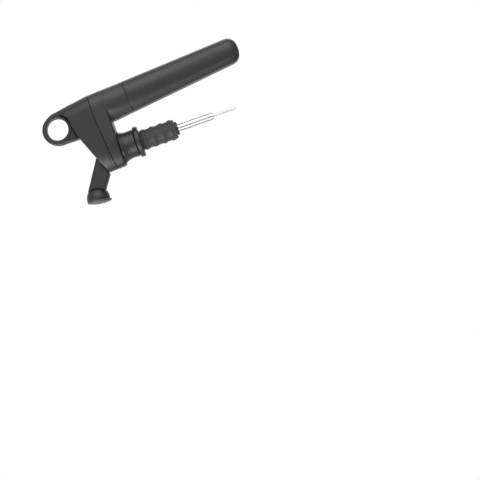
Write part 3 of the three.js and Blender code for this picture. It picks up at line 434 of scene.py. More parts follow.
def side_of(edge_heights, open_heights, inset, normals_of, edge, lip, sign, rows):
    """Half of a tray's side, in rows from its open rim to the edge of its closed face.

    A wall point is the section at a height between the rim and the edge. The rim is a quarter circle of
    radius `lip`. The edge is the quadratic curve from the wall, through the sharp corner, to a point that
    lies `edge` in from the corner along the closed face.
    """
    t = np.linspace(0.0, 1.0, rows)[:, None]
    start = open_heights + sign * lip
    wall = head_wall(start + (edge_heights - sign * edge - start) * t, inset)
    corner = head_wall(edge_heights, inset)
    before = np.concatenate([corner[1:2] * FLIP, corner[:-1]])
    after = np.concatenate([corner[1:], corner[-1:] * FLIP])
    inwards = unit(np.cross(after - before, normals_of(corner)))
    middle = corner.mean(0) * (1.0, 0.0, 1.0)
    inwards *= np.sign(np.sum(inwards * (middle - corner), -1, keepdims=True))
    begin, end = wall[-1], corner + edge * inwards
    s = np.linspace(0.0, 1.0, 7)[1:, None, None]
    bend = (1 - s) ** 2 * begin + 2 * s * (1 - s) * corner + s ** 2 * end
    turn = np.linspace(0.0, math.pi / 2, 4)[:-1] if lip else ()
    rim = [head_wall(open_heights + sign * lip * (1 - math.cos(a)), inset + lip * (1 - math.sin(a)))[None]
           for a in turn]
    return np.concatenate([*rim, wall, bend])


def tray(outer, inner, across=28):
    """A shell with one open side, from the half sides of its outer and inner skin.

    Each column of a side becomes a rib: up the wall, straight across to its mirror image, and down again.
    The flat near end is filled by straight lines from the last column to its mirror image. The two skins
    join along the open rim.
    """
    u = np.linspace(0.0, 1.0, across)[:, None, None]

    def ribs(side):
        face = side[-1] * (1 - u) + side[-1] * FLIP * u
        return np.concatenate([side, face[1:-1], (side * FLIP)[::-1]])

    def near_flat(side):
        share = u[:, 0]
        return side[:, -1:] * (1 - share) + side[:, -1:] * FLIP * share

    around = np.concatenate([ribs(outer), ribs(inner)[::-1]])
    end = np.concatenate([near_flat(outer)[::-1], near_flat(inner)])
    return [grid(around, wrap_rows=True, wrap_columns=False), grid(end, wrap_columns=False)]


def head_x(y, z):
    """The far side's x at (y, z): the superellipse quarter solved for x."""
    depth = half_depth(z)
    share = np.clip(np.abs(y) / depth, 0.0, 1.0)
    return far_side(z) - HEAD["far_round"] * (1 - (1 - share ** HEAD["softness"]) ** (1 / HEAD["softness"]))


# The handle's skin


def handle_section(half, depth, s, flat_share=1.0, round_share=1.0, softness=HANDLE["softness"]):
    """Half sections of the handle at heights s along it, as (x, y, s) in its own frame.

    From the far edge: a superellipse quarter, a side that falls by its share to the power `crown`, a straight
    chamfer with softened corners, and a flat on the -X side.
    """
    half, depth, s, flat_share, round_share = np.broadcast_arrays(
        *(np.asarray(v, float)[..., None] for v in (half, depth, s, flat_share, round_share)))
    c, q = soft_quarter(30, np.asarray(softness, float)[..., None])
    flat = HANDLE["flat"] * flat_share
    across = np.minimum(HANDLE["across"], depth - flat) * round_share
    up = HANDLE["up"] * round_share
    share = np.linspace(0.0, 1.0, 22)[1:]
    side_x = -(half - up) * share
    side_y = flat + across + (depth - flat - across) * (1 - share ** HANDLE["crown"])
    x = np.concatenate([half * c, side_x[..., :-1]], axis=-1)
    y = np.concatenate([depth * q, side_y[..., :-1]], axis=-1)
    top = np.concatenate([side_x[..., -1:], side_y[..., -1:]], axis=-1)
    face = -half - HANDLE["flat_reach"] * round_share
    low = np.concatenate([face, flat], axis=-1)
    foot = np.concatenate([face, 0 * flat], axis=-1)
    before = np.stack([x[..., -1], y[..., -1]], axis=-1)
    parts = []
    t = np.linspace(0.0, 1.0, 5)[:, None]
    for corner, neighbours, edge in (
            (top, (before, low), HANDLE["edge"]), (low, (top, foot), HANDLE["flat_edge"])):
        ends = []
        for side in neighbours:
            length = np.linalg.norm(side - corner, axis=-1, keepdims=True)
            size = np.minimum(edge * round_share, HANDLE["side_share"] * length)
            ends.append((corner + unit(side - corner) * size)[..., None, :])
        parts.append((1 - t) ** 2 * ends[0] + 2 * t * (1 - t) * corner[..., None, :] + t ** 2 * ends[1])
    t = np.linspace(0.0, 1.0, 7)[1:, None]
    last = parts[-1][..., -1:, :]
    parts.append(last * (1 - t) + foot[..., None, :] * t)
    bent = np.concatenate(parts, axis=-2)
    x = np.concatenate([x, bent[..., 0]], axis=-1)
    y = np.concatenate([y, bent[..., 1]], axis=-1)
    return mirrored(np.stack([x, y, s + 0 * x], axis=-1))


def cup_skin():
    """Sections of the cup from its tip to its mouth: a round end in side view, then an even taper."""
    centre = HANDLE["end_half"] - HANDLE["length"]
    narrow, down = (part[::-1][:-1] for part in soft_quarter(26, HANDLE["tip_softness"]))
    flat_share = 1 - (1 - HANDLE["tip_flat"]) * down
    depth = HANDLE["tip_depth"] + (HANDLE["end_depth"] - HANDLE["tip_depth"]) * narrow
    narrow = np.maximum(narrow, HANDLE["least_share"])
    end = handle_section(
        HANDLE["end_half"] * narrow, depth, centre - HANDLE["end_half"] * down, flat_share, narrow)
    share = np.linspace(0.0, 1.0, 46)
    taper = handle_section(
        HANDLE["end_half"] + (HANDLE["mouth_half"] - HANDLE["end_half"]) * share,
        HANDLE["end_depth"] + (HANDLE["mouth_depth"] - HANDLE["end_depth"]) * share,
        centre + (-HANDLE["seam"] - sizes().seam_edge / MM - centre) * share)
    return np.concatenate([end, taper])


# Meshes


def edge_convexity(mesh):
    """Gives each point how convex its edges are: the largest turn between two faces that open outwards.

    It spreads twice to the next points by a share of itself. The moulded skin makes convex edges less rough
    and paints them paler, a painted edge sheen.
    """
    count = len(mesh.vertices)
    bm = bmesh.new()
    bm.from_mesh(mesh)
    turns = np.array([e.calc_face_angle_signed(0.0) for e in bm.edges])
    ends = np.array([(e.verts[0].index, e.verts[1].index) for e in bm.edges])
    bm.free()
    convexity = np.zeros(count)
    for side in (0, 1):
        np.maximum.at(convexity, ends[:, side], np.clip(turns, 0.0, None))
    for _ in range(2):
        spread = convexity.copy()
        np.maximum.at(spread, ends[:, 0], CONVEXITY_SPREAD * convexity[ends[:, 1]])
        np.maximum.at(spread, ends[:, 1], CONVEXITY_SPREAD * convexity[ends[:, 0]])
        convexity = spread
    # convexity polishes edges in the moulded skin and paints them paler: the paler colour is a painted edge
    # sheen
    layer = mesh.attributes.new("convexity", "FLOAT", "POINT")
    layer.data.foreach_set("value", np.clip(convexity / FULL_CONVEX_TURN, 0.0, 1.0).astype(np.float32))


def welded(mesh, distance=WELD):
    """A bmesh of the mesh, where points closer than the distance are one and nothing empty is left."""
    bm = bmesh.new()
    bm.from_mesh(mesh)
    bmesh.ops.remove_doubles(bm, verts=bm.verts, dist=distance)
    bmesh.ops.dissolve_degenerate(bm, dist=distance, edges=bm.edges)
    loose = [e for e in bm.edges if not e.link_faces]
    bmesh.ops.delete(bm, geom=loose, context="EDGES")
    return bm


def bare_object(name, shells):
    """Joins shells of (points in millimetres, quads) into one closed mesh in metres that faces outwards."""
    points, faces, start = [], [], 0
    for shell_points, shell_faces in shells:
        points.append(shell_points * MM)
        faces.append(shell_faces + start)
        start += len(shell_points)
    mesh = bpy.data.meshes.new(name)
    mesh.from_pydata(np.concatenate(points).tolist(), [], np.concatenate(faces).tolist())
    bm = welded(mesh)
    bmesh.ops.recalc_face_normals(bm, faces=bm.faces)
    if bm.calc_volume(signed=True) < 0:
        bmesh.ops.reverse_faces(bm, faces=bm.faces)
    holes = sum(len(e.link_faces) != 2 for e in bm.edges)
    bm.to_mesh(mesh)
    bm.free()
    if holes:
        raise RuntimeError(f"{name} has {holes} edges without two faces")
    made = bpy.data.objects.new(name, mesh)
    bpy.context.scene.collection.objects.link(made)
    return made


def carve(made, tool, operation="DIFFERENCE"):
    """Cuts or joins a piece with a closed tool by the exact solver, and keeps the result as its mesh."""
    modifier = made.modifiers.new(operation, "BOOLEAN")
    modifier.operation, modifier.solver, modifier.object = operation, "EXACT", tool
    depsgraph = bpy.context.evaluated_depsgraph_get()
    mesh = bpy.data.meshes.new_from_object(made.evaluated_get(depsgraph))
    made.modifiers.clear()
    bm = welded(mesh, FINE_WELD)
    bm.to_mesh(mesh)
    bm.free()
    made.data = mesh
    bpy.data.objects.remove(tool)


def combined(made, tool_shells, operation):
    """Cuts or joins a piece with tools made from shells, one after another."""
    for shells in tool_shells:
        carve(made, bare_object(f"{made.name}_tool", shells), operation)


def finished(made, body, slot, *nodes):
    """Shades a piece smooth up to its sharp edges, dresses it, and puts it on its body for the nodes."""
    mesh = made.data
    mesh.name = made.name
    mesh.shade_smooth()
    mesh.set_sharp_from_angle(angle=SHARP)
    edge_convexity(mesh)
    mesh.materials.clear()
    mesh.materials.append(bpy.data.materials[f"{slot}_finish"])
    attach(made, body)
    if nodes:
        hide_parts(*nodes)
    return made


# Finishes

# Noise scales of the moulded skin, and shares of its edge patches, polish and specks; pale is how much paler
# the painted edge sheen makes the colour
SKIN = dict(clouds=38.0, specks=420.0, speck_share=0.3, least_patch=0.35, polish=0.25, pale=2.1)
# Noise scales of drawn metal, the scratches' share of its shine, and its darkest and lightest tone
METAL = dict(lines=3200.0, clouds=60.0, line_share=0.6, tones=(0.92, 1.06))


def link(tree, source, target):
    """Joins an output socket to an input socket."""
    tree.links.new(source, target)


def fed(tree, socket, value):
    """Gives an input socket its value, which is another socket or a plain number or colour."""
    if isinstance(value, bpy.types.NodeSocket):
        link(tree, value, socket)
    else:
        socket.default_value = value


def new_group(name, inputs, outputs):
    """An empty shader group whose inputs are given as (name, type, default) and outputs as (name, type)."""
    group = bpy.data.node_groups.new(name, "ShaderNodeTree")
    for label, kind, default in inputs:
        socket = group.interface.new_socket(label, in_out="INPUT", socket_type=kind)
        socket.default_value = default
    for label, kind in outputs:
        group.interface.new_socket(label, in_out="OUTPUT", socket_type=kind)
    entry, leave = group.nodes.new("NodeGroupInput"), group.nodes.new("NodeGroupOutput")
    return group, entry, leave


def noise(tree, coordinates, scale, detail=2.0, roughness=0.5):
    """A noise texture on the given coordinates."""
    node = tree.nodes.new("ShaderNodeTexNoise")
    fed(tree, node.inputs["Scale"], scale)
    node.inputs["Detail"].default_value = detail
    node.inputs["Roughness"].default_value = roughness
    link(tree, coordinates, node.inputs["Vector"])
    return node


def ranged(tree, value, low, high, from_low=0.3, from_high=0.7):
    """A value mapped from one range to another and held at its ends."""
    node = tree.nodes.new("ShaderNodeMapRange")
    for label, number in (
            ("Value", value), ("From Min", from_low), ("From Max", from_high),
            ("To Min", low), ("To Max", high)):
        fed(tree, node.inputs[label], number)
    return node.outputs["Result"]


def math_node(tree, operation, first, second):
    """The result of a sum on two sockets or numbers."""
    node = tree.nodes.new("ShaderNodeMath")
    node.operation = operation
    for socket, value in zip(node.inputs, (first, second)):
        fed(tree, socket, value)
    return node.outputs[0]


def mixed_colour(tree, factor, first, second):
    """The first colour turned into the second by a factor, through the mix node's sockets for colours."""
    node = tree.nodes.new("ShaderNodeMix")
    node.data_type = "RGBA"
    for place, value in ((0, factor), (6, first), (7, second)):
        fed(tree, node.inputs[place], value)
    return node.outputs[2]


def scaled_colour(tree, colour, factor):
    """A colour whose channels are all multiplied by the same factor."""
    node = tree.nodes.new("ShaderNodeVectorMath")
    node.operation = "SCALE"
    link(tree, colour, node.inputs[0])
    fed(tree, node.inputs["Scale"], factor)
    return node.outputs[0]


def skin_group():
    """Moulded surface: fine grain as a height, cloudy polish as roughness, and a slightly drifting colour.
    Convex edges turn less rough and paler, a painted edge sheen.
    """
    group, entry, leave = new_group(
        "moulded_skin",
        [("Colour", "NodeSocketColor", (0.05, 0.05, 0.05, 1.0)), ("Grain scale", "NodeSocketFloat", 2200.0),
         ("Polished", "NodeSocketFloat", 0.36), ("Dull", "NodeSocketFloat", 0.46),
         ("Drift", "NodeSocketFloat", 0.06), ("Edge polish and sheen", "NodeSocketFloat", 0.25)],
        [("Colour", "NodeSocketColor"), ("Roughness", "NodeSocketFloat"), ("Height", "NodeSocketFloat")])
    place = group.nodes.new("ShaderNodeTexCoord").outputs["Object"]
    grain = noise(group, place, entry.outputs["Grain scale"], 3.0, 0.6)
    cloud = noise(group, place, SKIN["clouds"], 4.0, 0.55)
    speck = noise(group, place, SKIN["specks"])
    convex_edges = group.nodes.new("ShaderNodeAttribute")
    convex_edges.attribute_name = "convexity"
    patches = ranged(group, speck.outputs["Fac"], SKIN["least_patch"], 1.0)
    patchy = math_node(group, "MULTIPLY", convex_edges.outputs["Fac"], patches)
    edge_polish_and_sheen = math_node(group, "MULTIPLY", patchy, entry.outputs["Edge polish and sheen"])
    dull = ranged(group, cloud.outputs["Fac"], entry.outputs["Polished"], entry.outputs["Dull"])
    polish = math_node(group, "MULTIPLY", edge_polish_and_sheen, SKIN["polish"])
    link(group, math_node(group, "SUBTRACT", dull, polish), leave.inputs["Roughness"])
    darker, lighter = (math_node(group, sign, 1.0, entry.outputs["Drift"]) for sign in ("SUBTRACT", "ADD"))
    tone = ranged(group, cloud.outputs["Fac"], darker, lighter)
    base = scaled_colour(group, entry.outputs["Colour"], tone)
    # convex edges are mixed towards this paler colour: a painted sheen along the edges
    pale = scaled_colour(group, base, SKIN["pale"])
    link(group, mixed_colour(group, edge_polish_and_sheen, base, pale), leave.inputs["Colour"])
    fine = math_node(group, "MULTIPLY", grain.outputs["Fac"], 1 - SKIN["speck_share"])
    coarse = math_node(group, "MULTIPLY", speck.outputs["Fac"], SKIN["speck_share"])
    link(group, math_node(group, "ADD", fine, coarse), leave.inputs["Height"])
    return group


def brushed_group():
    """Drawn or turned metal: noise squeezed along Z by `Stretch` for scratches, and a clouded shine."""
    group, entry, leave = new_group(
        "drawn_metal",
        [("Colour", "NodeSocketColor", (0.5, 0.5, 0.5, 1.0)), ("Stretch", "NodeSocketFloat", 0.04),
         ("Shine", "NodeSocketFloat", 0.18), ("Dull", "NodeSocketFloat", 0.34)],
        [("Colour", "NodeSocketColor"), ("Roughness", "NodeSocketFloat"), ("Height", "NodeSocketFloat")])
    place = group.nodes.new("ShaderNodeTexCoord").outputs["Object"]
    parts = group.nodes.new("ShaderNodeSeparateXYZ")
    link(group, place, parts.inputs[0])
    join = group.nodes.new("ShaderNodeCombineXYZ")
    link(group, parts.outputs[0], join.inputs[0])
    link(group, parts.outputs[1], join.inputs[1])
    link(group, math_node(group, "MULTIPLY", parts.outputs[2], entry.outputs["Stretch"]), join.inputs[2])
    line = noise(group, join.outputs[0], METAL["lines"], 2.0, 0.6)
    cloud = noise(group, place, METAL["clouds"], 3.0)
    scratched = math_node(group, "MULTIPLY", line.outputs["Fac"], METAL["line_share"])
    clouded = math_node(group, "MULTIPLY", cloud.outputs["Fac"], 1 - METAL["line_share"])
    shine = ranged(
        group, math_node(group, "ADD", scratched, clouded), entry.outputs["Shine"], entry.outputs["Dull"])
    link(group, shine, leave.inputs["Roughness"])
    tone = ranged(group, cloud.outputs["Fac"], *METAL["tones"])
    link(group, scaled_colour(group, entry.outputs["Colour"], tone), leave.inputs["Colour"])
    link(group, line.outputs["Fac"], leave.inputs["Height"])
    return group


def make_finish(name, group, colour, values, bump, metallic=0.0, specular=0.5, sheen=0.0):
    """A material whose colour, roughness and bump come from one placed copy of a shader group.

    `bump` is its strength and its height in millimetres.
    """
    material = bpy.data.materials.new(f"{name}_finish")
    material.use_nodes = True
    tree = material.node_tree
    shader = tree.nodes["Principled BSDF"]
    node = tree.nodes.new("ShaderNodeGroup")
    node.node_tree = group
    node.inputs["Colour"].default_value = (*colour, 1.0)
    for label, value in values.items():
        node.inputs[label].default_value = value
    strength, height = bump
    relief = tree.nodes.new("ShaderNodeBump")
    relief.inputs["Strength"].default_value = strength
    relief.inputs["Distance"].default_value = height * MM
    link(tree, node.outputs["Height"], relief.inputs["Height"])
    link(tree, node.outputs["Colour"], shader.inputs["Base Color"])
    link(tree, node.outputs["Roughness"], shader.inputs["Roughness"])
    link(tree, relief.outputs["Normal"], shader.inputs["Normal"])
    shader.inputs["Metallic"].default_value = metallic
    shader.inputs["Specular IOR Level"].default_value = specular
    shader.inputs["Sheen Weight"].default_value = sheen
    return material


def make_finishes():
    """Every finish of the part, by the name of its slot."""
    skin, brushed = skin_group(), brushed_group()
    grain = 1.0 / sizes().grain
    look = finishes()
    # the edge polish and sheen share sets how much convex edges lose roughness and turn paler, a painted edge
    # sheen
    satin = {"Grain scale": grain, "Polished": 0.4, "Dull": 0.46, "Drift": 0.05, "Edge polish and sheen": 0.22}
    plate = {**satin, "Polished": 0.34, "Dull": 0.42}
    white = {**satin, "Drift": 0.03, "Edge polish and sheen": 0.0}
    rubber = {"Grain scale": grain * 0.7, "Polished": 0.58, "Dull": 0.72, "Drift": 0.12, "Edge polish and sheen": 0.3}
    drawn = {"Stretch": 0.04, "Shine": 0.26, "Dull": 0.4}
    turned_brass = {"Stretch": 9.0, "Shine": 0.2, "Dull": 0.36}
    make_finish("charcoal_plastic", skin, look.charcoal, satin, (0.25, 0.03), specular=0.32)
    make_finish("dark_plastic", skin, look.dark, satin, (0.3, 0.03), specular=0.32)
    make_finish("grey_plastic", skin, look.grey, plate, (0.2, 0.02))
    make_finish("white_plastic", skin, look.white, white, (0.15, 0.02))
    make_finish("black_rubber", skin, look.rubber, rubber, (0.4, 0.04), specular=0.35, sheen=0.15)
    make_finish("stainless_steel", brushed, look.steel, drawn, (0.12, 0.01), metallic=1.0)
    make_finish("brass", brushed, look.brass, turned_brass, (0.15, 0.01), metallic=1.0)


class FinishOperator(bpy.types.Operator):
    """Makes the finishes and gives each node of the frame its own"""

    bl_idname = "dispenser.finishes"
    bl_label = "Finishes"

    def execute(self, context):
        make_finishes()
        for part in frame["record"]["subparts"]:
            node = frame["nodes"][part["node"]]
            node.data.materials.clear()
            node.data.materials.append(bpy.data.materials[f"{part['material_slot']}_finish"])
            for face in node.data.polygons:
                face.material_index = 0
        return {"FINISHED"}


# The stopper, the tubes and the collar


def stopper_core():
    """Outline of the core: a pocket at its foot, a step that seats the plug, and the flange at its top."""
    s, foot = STOPPER, -STOPPER["reach"]
    shelf = foot + s["pocket_depth"]
    return softened([
        (s["bore"], shelf, EASED), (s["pocket"], shelf, EASED), (s["pocket"], foot, BROKEN),
        (s["core"], foot, BROKEN), (s["core"], s["seat_step"], BROKEN), (s["seat"], s["seat_step"], BROKEN),
        (s["seat"], 0.0, EASED), (s["flange"], 0.0, s["flange_low_edge"]),
        (s["flange"], s["height"], s["flange_edge"]), (s["bore"], s["height"], sizes().turned_edge / MM),
    ], 8)


def ribbed_plug():
    """Outline of the plug: ribs as (0.5 + 0.5 cos)^2 of its height, between ends with rounded rims."""
    s, edge = STOPPER, STOPPER["plug_edge"]
    low, top = GAP - s["reach"], s["seat_step"] - GAP
    height = np.linspace(low, top, 121)
    phase = s["ribs"] * (height - low) / (top - low) - 0.5
    wave = 0.5 + 0.5 * np.cos(2 * math.pi * phase)
    ends = np.minimum(1.0, np.minimum(height - low, top - height) / edge)
    radius = s["plug"] - edge * (1 - np.sqrt(1 - (1 - ends) ** 2)) + (s["rib"] - s["plug"]) * wave ** 2
    inside = s["core"] + GAP
    return np.concatenate([np.stack([radius, height], axis=-1), [[inside, top], [inside, low]]])


def plug_end_cap():
    """Outline of the flat cap under the core."""
    s, top = STOPPER, -STOPPER["reach"]
    low = top - s["cap"]
    return softened([
        (s["bore"], low, s["cap_bore_edge"]), (s["core"], low, s["cap_edge"]),
        (s["core"], top, BROKEN), (s["bore"], top, BROKEN)])


class StopperOperator(bpy.types.Operator):
    """Builds the stopper: its hard core with the flange, the ribbed plug and the end cap"""

    bl_idname = "dispenser.stopper"
    bl_label = "Stopper"

    def execute(self, context):
        for name, outline, sides, slot, node in (
                ("stopper_flange", stopper_core(), 128, "charcoal_plastic", "stopper_core"),
                ("ribbed_plug", ribbed_plug(), 128, "black_rubber", "stopper_plug"),
                ("plug_end_cap", plug_end_cap(), 96, "dark_plastic", "stopper_end_cap")):
            finished(bare_object(name, [turned(outline, sides)]), "stopper", slot, node)
        return {"FINISHED"}


class TubeOperator(bpy.types.Operator):
    """Builds the pouring tube and the thin gas tube inside it"""

    bl_idname = "dispenser.tubes"
    bl_label = "Tubes"

    def execute(self, context):
        for name, node, key, sides in (
                ("pouring_tube", "pour_tube", "pour", 72), ("gas_lance", "gas_tube", "gas", 48)):
            radius, wall = TUBES[key], TUBES[f"{key}_wall"]
            low, high, edge = TUBES[f"{key}_low"], TUBES[f"{key}_high"], TUBES["rim_share"] * wall
            corners = [(radius - wall, low), (radius, low), (radius, high), (radius - wall, high)]
            outline = softened([(*corner, edge) for corner in corners])
            finished(bare_object(name, [turned(outline, sides)]), "head", "stainless_steel", node)
        return {"FINISHED"}


def collar_outline():
    """Outline of the collar: a foot, a flare by the square of its height, a lip and a boss inside."""
    c = COLLAR
    waist = c["low"] + (c["high"] - c["low"]) * c["waist_share"]
    lip_low, floor_top = c["high"] - c["lip"], c["floor"] + c["floor_rise"]
    share = np.linspace(0.0, 1.0, 24)
    flare_radius = c["waist"] + (c["top"] - c["waist"]) * share ** 2
    flare = np.stack([flare_radius, waist + (c["high"] - waist) * share], axis=-1)
    inner = flare[::-1] - np.array([WALL, 0.0])
    foot = softened([
        (c["bore"], c["seal_top"], BROKEN), (c["seal"], c["seal_top"], BROKEN), (c["seal"], c["low"], BROKEN),
        (c["bottom"], c["low"], c["foot_edge"]), (c["waist"], waist, 0.0)])[:-1]
    lip = softened([
        (c["top"], lip_low, 0.0), (c["top"], c["high"], c["lip_edge"]),
        (c["top"] - WALL, c["high"], c["lip_inner_edge"]), (c["top"] - WALL, lip_low, 0.0)])
    boss = softened([
        (c["waist"] - WALL, floor_top, 0.0), (c["waist"] - WALL, c["floor"], c["floor_edge"]),
        (c["boss"], c["floor"], c["floor_edge"]), (c["boss"], c["seat"], EASED),
        (c["bore"], c["seat"], EASED), (c["bore"], c["seal_top"], 0.0)])
    flare = flare[flare[:, 1] < lip_low]
    inner = inner[(inner[:, 1] < lip_low) & (inner[:, 1] > floor_top)]
    return np.concatenate([foot, flare, lip, inner, boss[:-1]])


class CollarOperator(bpy.types.Operator):
    """Builds the waisted collar between the stopper and the head"""

    bl_idname = "dispenser.collar"
    bl_label = "Collar"

    def execute(self, context):
        made = bare_object("waisted_collar", [turned(collar_outline(), 128)])
        finished(made, "head", "charcoal_plastic", "neck_collar")
        return {"FINISHED"}


# The front cover with its hanging ring


def rounded_rectangle(half, height, radius, count):
    """Four quarter circles round a rectangle, as y and as z from its middle."""
    angle = np.linspace(0.0, 2 * math.pi, count, endpoint=False)
    y = np.sign(np.cos(angle + NUDGE)) * (half - radius) + radius * np.cos(angle)
    z = np.sign(np.sin(angle + NUDGE)) * (height / 2 - radius) + radius * np.sin(angle)
    return y, z


def opening_shell(grow, low_x, high_x):
    """The button's rounded rectangle, grown and run along X as a closed prism."""
    b = BUTTON
    y, z = rounded_rectangle(b["half"] + grow, b["high"] - b["low"] + 2 * grow, b["corner"] + grow, 64)
    ring = np.stack([0 * y, y, z], axis=-1)
    rows = [0 * ring + (low_x, 0, 0), ring + (low_x, 0, 0), ring + (high_x, 0, 0), 0 * ring + (high_x, 0, 0)]
    return grid(np.stack(rows) + (0.0, 0.0, (b["low"] + b["high"]) / 2))


def ring_outline(count=88):
    """The hanging ring's plate in side view: up the near edge, over the circle, and down the head's far side.

    A quadratic curve that touches both leads from the circle into the far side. Below the roof a straight
    line runs back inside the head.
    """
    cx, cz, radius = RING["outer_x"], RING["z"], RING["radius"]
    step, top = ROOF["step"][1], HEAD["top"]
    near = np.stack([np.full(30, cx - radius), np.linspace(RING["foot"], cz, 30, endpoint=False)], -1)
    angle = np.linspace(math.pi, RING["blend"], count)
    arc = np.stack([cx + radius * np.cos(angle), cz + radius * np.sin(angle)], -1)
    meet, start = arc[-1], np.array([float(far_side(np.array(top))), top])
    heading = np.array([math.sin(RING["blend"]), -math.cos(RING["blend"])])
    lean = HEAD["upper_lean"] + 2 * HEAD["bend_rate"] * (top - HEAD["bend_from"])
    over = start[0] - lean * (meet[1] - start[1]) - meet[0]
    control = meet + over / (heading[0] + lean * heading[1]) * heading
    t = np.linspace(0.0, 1.0, 18)[1:, None]
    blend = (1 - t) ** 2 * meet + 2 * t * (1 - t) * control + t ** 2 * start
    z = np.linspace(top, step + RING["above_roof"], 26)[1:]
    fade = 1 - (z - step) / (top - step)
    down = np.stack([far_side(z) - RING["draw_in"] * fade, z], -1)
    inner_x = float(far_side(np.array(RING["foot"]))) - RING["foot_tuck"]
    slant = np.linspace(down[-1], (inner_x, RING["foot"]), 12)[1:]
    foot = np.linspace(slant[-1], (cx - radius, RING["foot"]), 30)[1:-1]
    return np.concatenate([near, arc, blend, down, slant, foot])


def in_pocket(x, z, radius):
    """How far a point of the plate lies in the web's pocket, from 0 at its rims to 1."""
    clear = np.minimum.reduce([
        radius - RING["hole"] - RING["rim"], x - (RING["outer_x"] - RING["radius"] + RING["side_rim"]),
        RING["z"] - z, ROOF["step"][0] + RING["pocket_past"] - x])
    return smooth(clear / RING["pocket_edge"])


def in_groove(x, z, radius):
    """How far a point lies in the groove that runs beside the head's wall, from its edges to its middle."""
    line = ROOF["high"][1] + UPPER_SLOPE * (x - ROOF["high"][0])
    above = np.where(x < ROOF["step"][0], (z - line) / math.hypot(1.0, UPPER_SLOPE), -np.inf)
    clear = np.maximum(above, RING["clear"] - radius)
    across = smooth(1 - np.abs(clear - RING["groove_at"]) / RING["groove_at"])
    return across * smooth((RING["groove_top"] - z) / RING["groove_fade"])


def ring_plate():
    """The plate as a loop of sections, each from the hole, over the front, round the outer edge and back.

    A section is a rounded rectangle between the hole's circle and the outline, and its faces sink by the
    pocket's depth where a point is clear of the rims, by a smooth step of its distance from them.
    """
    centre, half = np.array([RING["x"], RING["z"]]), RING["half"]
    reach = ring_outline() - centre
    length = np.linalg.norm(reach, axis=1)
    direction = reach / length[:, None]
    inner_edge, outer_edge = RING["hole_edge"], sizes().ring_edge / MM
    a = np.linspace(0.0, math.pi / 2, 7)[:, None]
    hole = RING["hole"] + inner_edge * (1 - np.cos(a)) + 0 * length
    hole_y = half - inner_edge * (1 - np.sin(a)) + 0 * length
    rim = length - outer_edge * (1 - np.cos(a[::-1]))
    rim_y = half - outer_edge * (1 - np.sin(a[::-1])) + 0 * length
    share = np.linspace(0.0, 1.0, 42)[1:-1, None]
    face = (RING["hole"] + inner_edge) * (1 - share) + (length - outer_edge) * share
    x, z = centre[0] + direction[:, 0] * face, centre[1] + direction[:, 1] * face
    face_y = half - RING["pocket"] * in_pocket(x, z, face) - RING["groove"] * in_groove(x, z, face)
    radius, y = np.concatenate([hole, face, rim]), np.concatenate([hole_y, face_y, rim_y])
    x, z = centre[0] + direction[:, 0] * radius, centre[1] + direction[:, 1] * radius
    front, back = np.stack([x, y, z], -1), np.stack([x, -y, z], -1)[::-1]
    return grid(np.concatenate([front, back]), wrap_rows=True)


class CoverOperator(bpy.types.Operator):
    """Builds the front cover: the upper shell of the head, with its hanging ring and button opening"""

    bl_idname = "dispenser.cover"
    bl_label = "Front cover"

    def execute(self, context):
        outer = side_of(
            on_roof(0.0, 0.0), on_seam(0.0, 0.0), 0.0, lambda at: roof_normals(at, 0.0),
            sizes().shell_edge / MM, sizes().seam_edge / MM, 1.0, 44)
        inner = side_of(
            on_roof(WALL, WALL), on_seam(-HEAD["seam_slant"], WALL), WALL, lambda at: roof_normals(at, WALL),
            INNER_EDGE, 0.0, 1.0, 44)
        made = bare_object("front_shell", tray(outer, inner))
        spout_hole = in_frame(rod(SPOUT["radius"] + GAP, SPOUT["cut_from"], SPOUT["length"]), ALONG_SPOUT)
        button_hole = opening_shell(BUTTON["clearance"], *BUTTON["opening"])
        combined(made, [[button_hole], [spout_hole]], "DIFFERENCE")
        combined(made, [[ring_plate()]], "UNION")
        finished(made, "head", "charcoal_plastic", "front_cover")
        return {"FINISHED"}


# The rear frame with the root of the handle


def handle_root():
    """The root of the handle: sections that grow by a smooth step from the cup's mouth to the frame."""
    h, lip = HANDLE, sizes().seam_edge / MM
    rim = np.linspace(0.0, math.pi / 2, 4)[:-1]
    drawn = lip * (1 - np.sin(rim))
    lips = handle_section(h["mouth_half"] - drawn, h["mouth_depth"] - drawn, lip * (1 - np.cos(rim)))
    along = lip + (h["base"] - lip) * np.linspace(0.0, 1.0, 40)
    start, end = h["root_at"]
    root = smooth((along - start) / (end - start))
    body = handle_section(
        h["mouth_half"] + (h["root_half"] - h["mouth_half"]) * root,
        h["mouth_depth"] + (h["root_depth"] - h["mouth_depth"]) * root, along,
        softness=h["softness"] + (HEAD["softness"] - h["softness"]) * root)
    first, last = (part.mean(axis=0) + 0 * part for part in (lips[0], body[-1]))
    return grid(np.concatenate([first[None], lips, body, last[None]]))


def frame_bores():
    """The rods that hollow the frame: the socket's bore, the tube's, and each cover screw's stepped hole."""
    f = FRAME
    bores = [[in_frame(rod(f["socket_bore"], *f["socket_reach"], 96), ALONG_HANDLE)],
             [rod(TUBES["pour"] + GAP, *f["tube_reach"])]]
    for side in (1.0, -1.0):
        for hole in (f["screw_hole"], f["screw_head"]):
            points, faces = rod(*hole, 40)
            bores.append([(points + (f["screw_x"], f["screw_y"] * side, 0.0), faces)])
    return bores


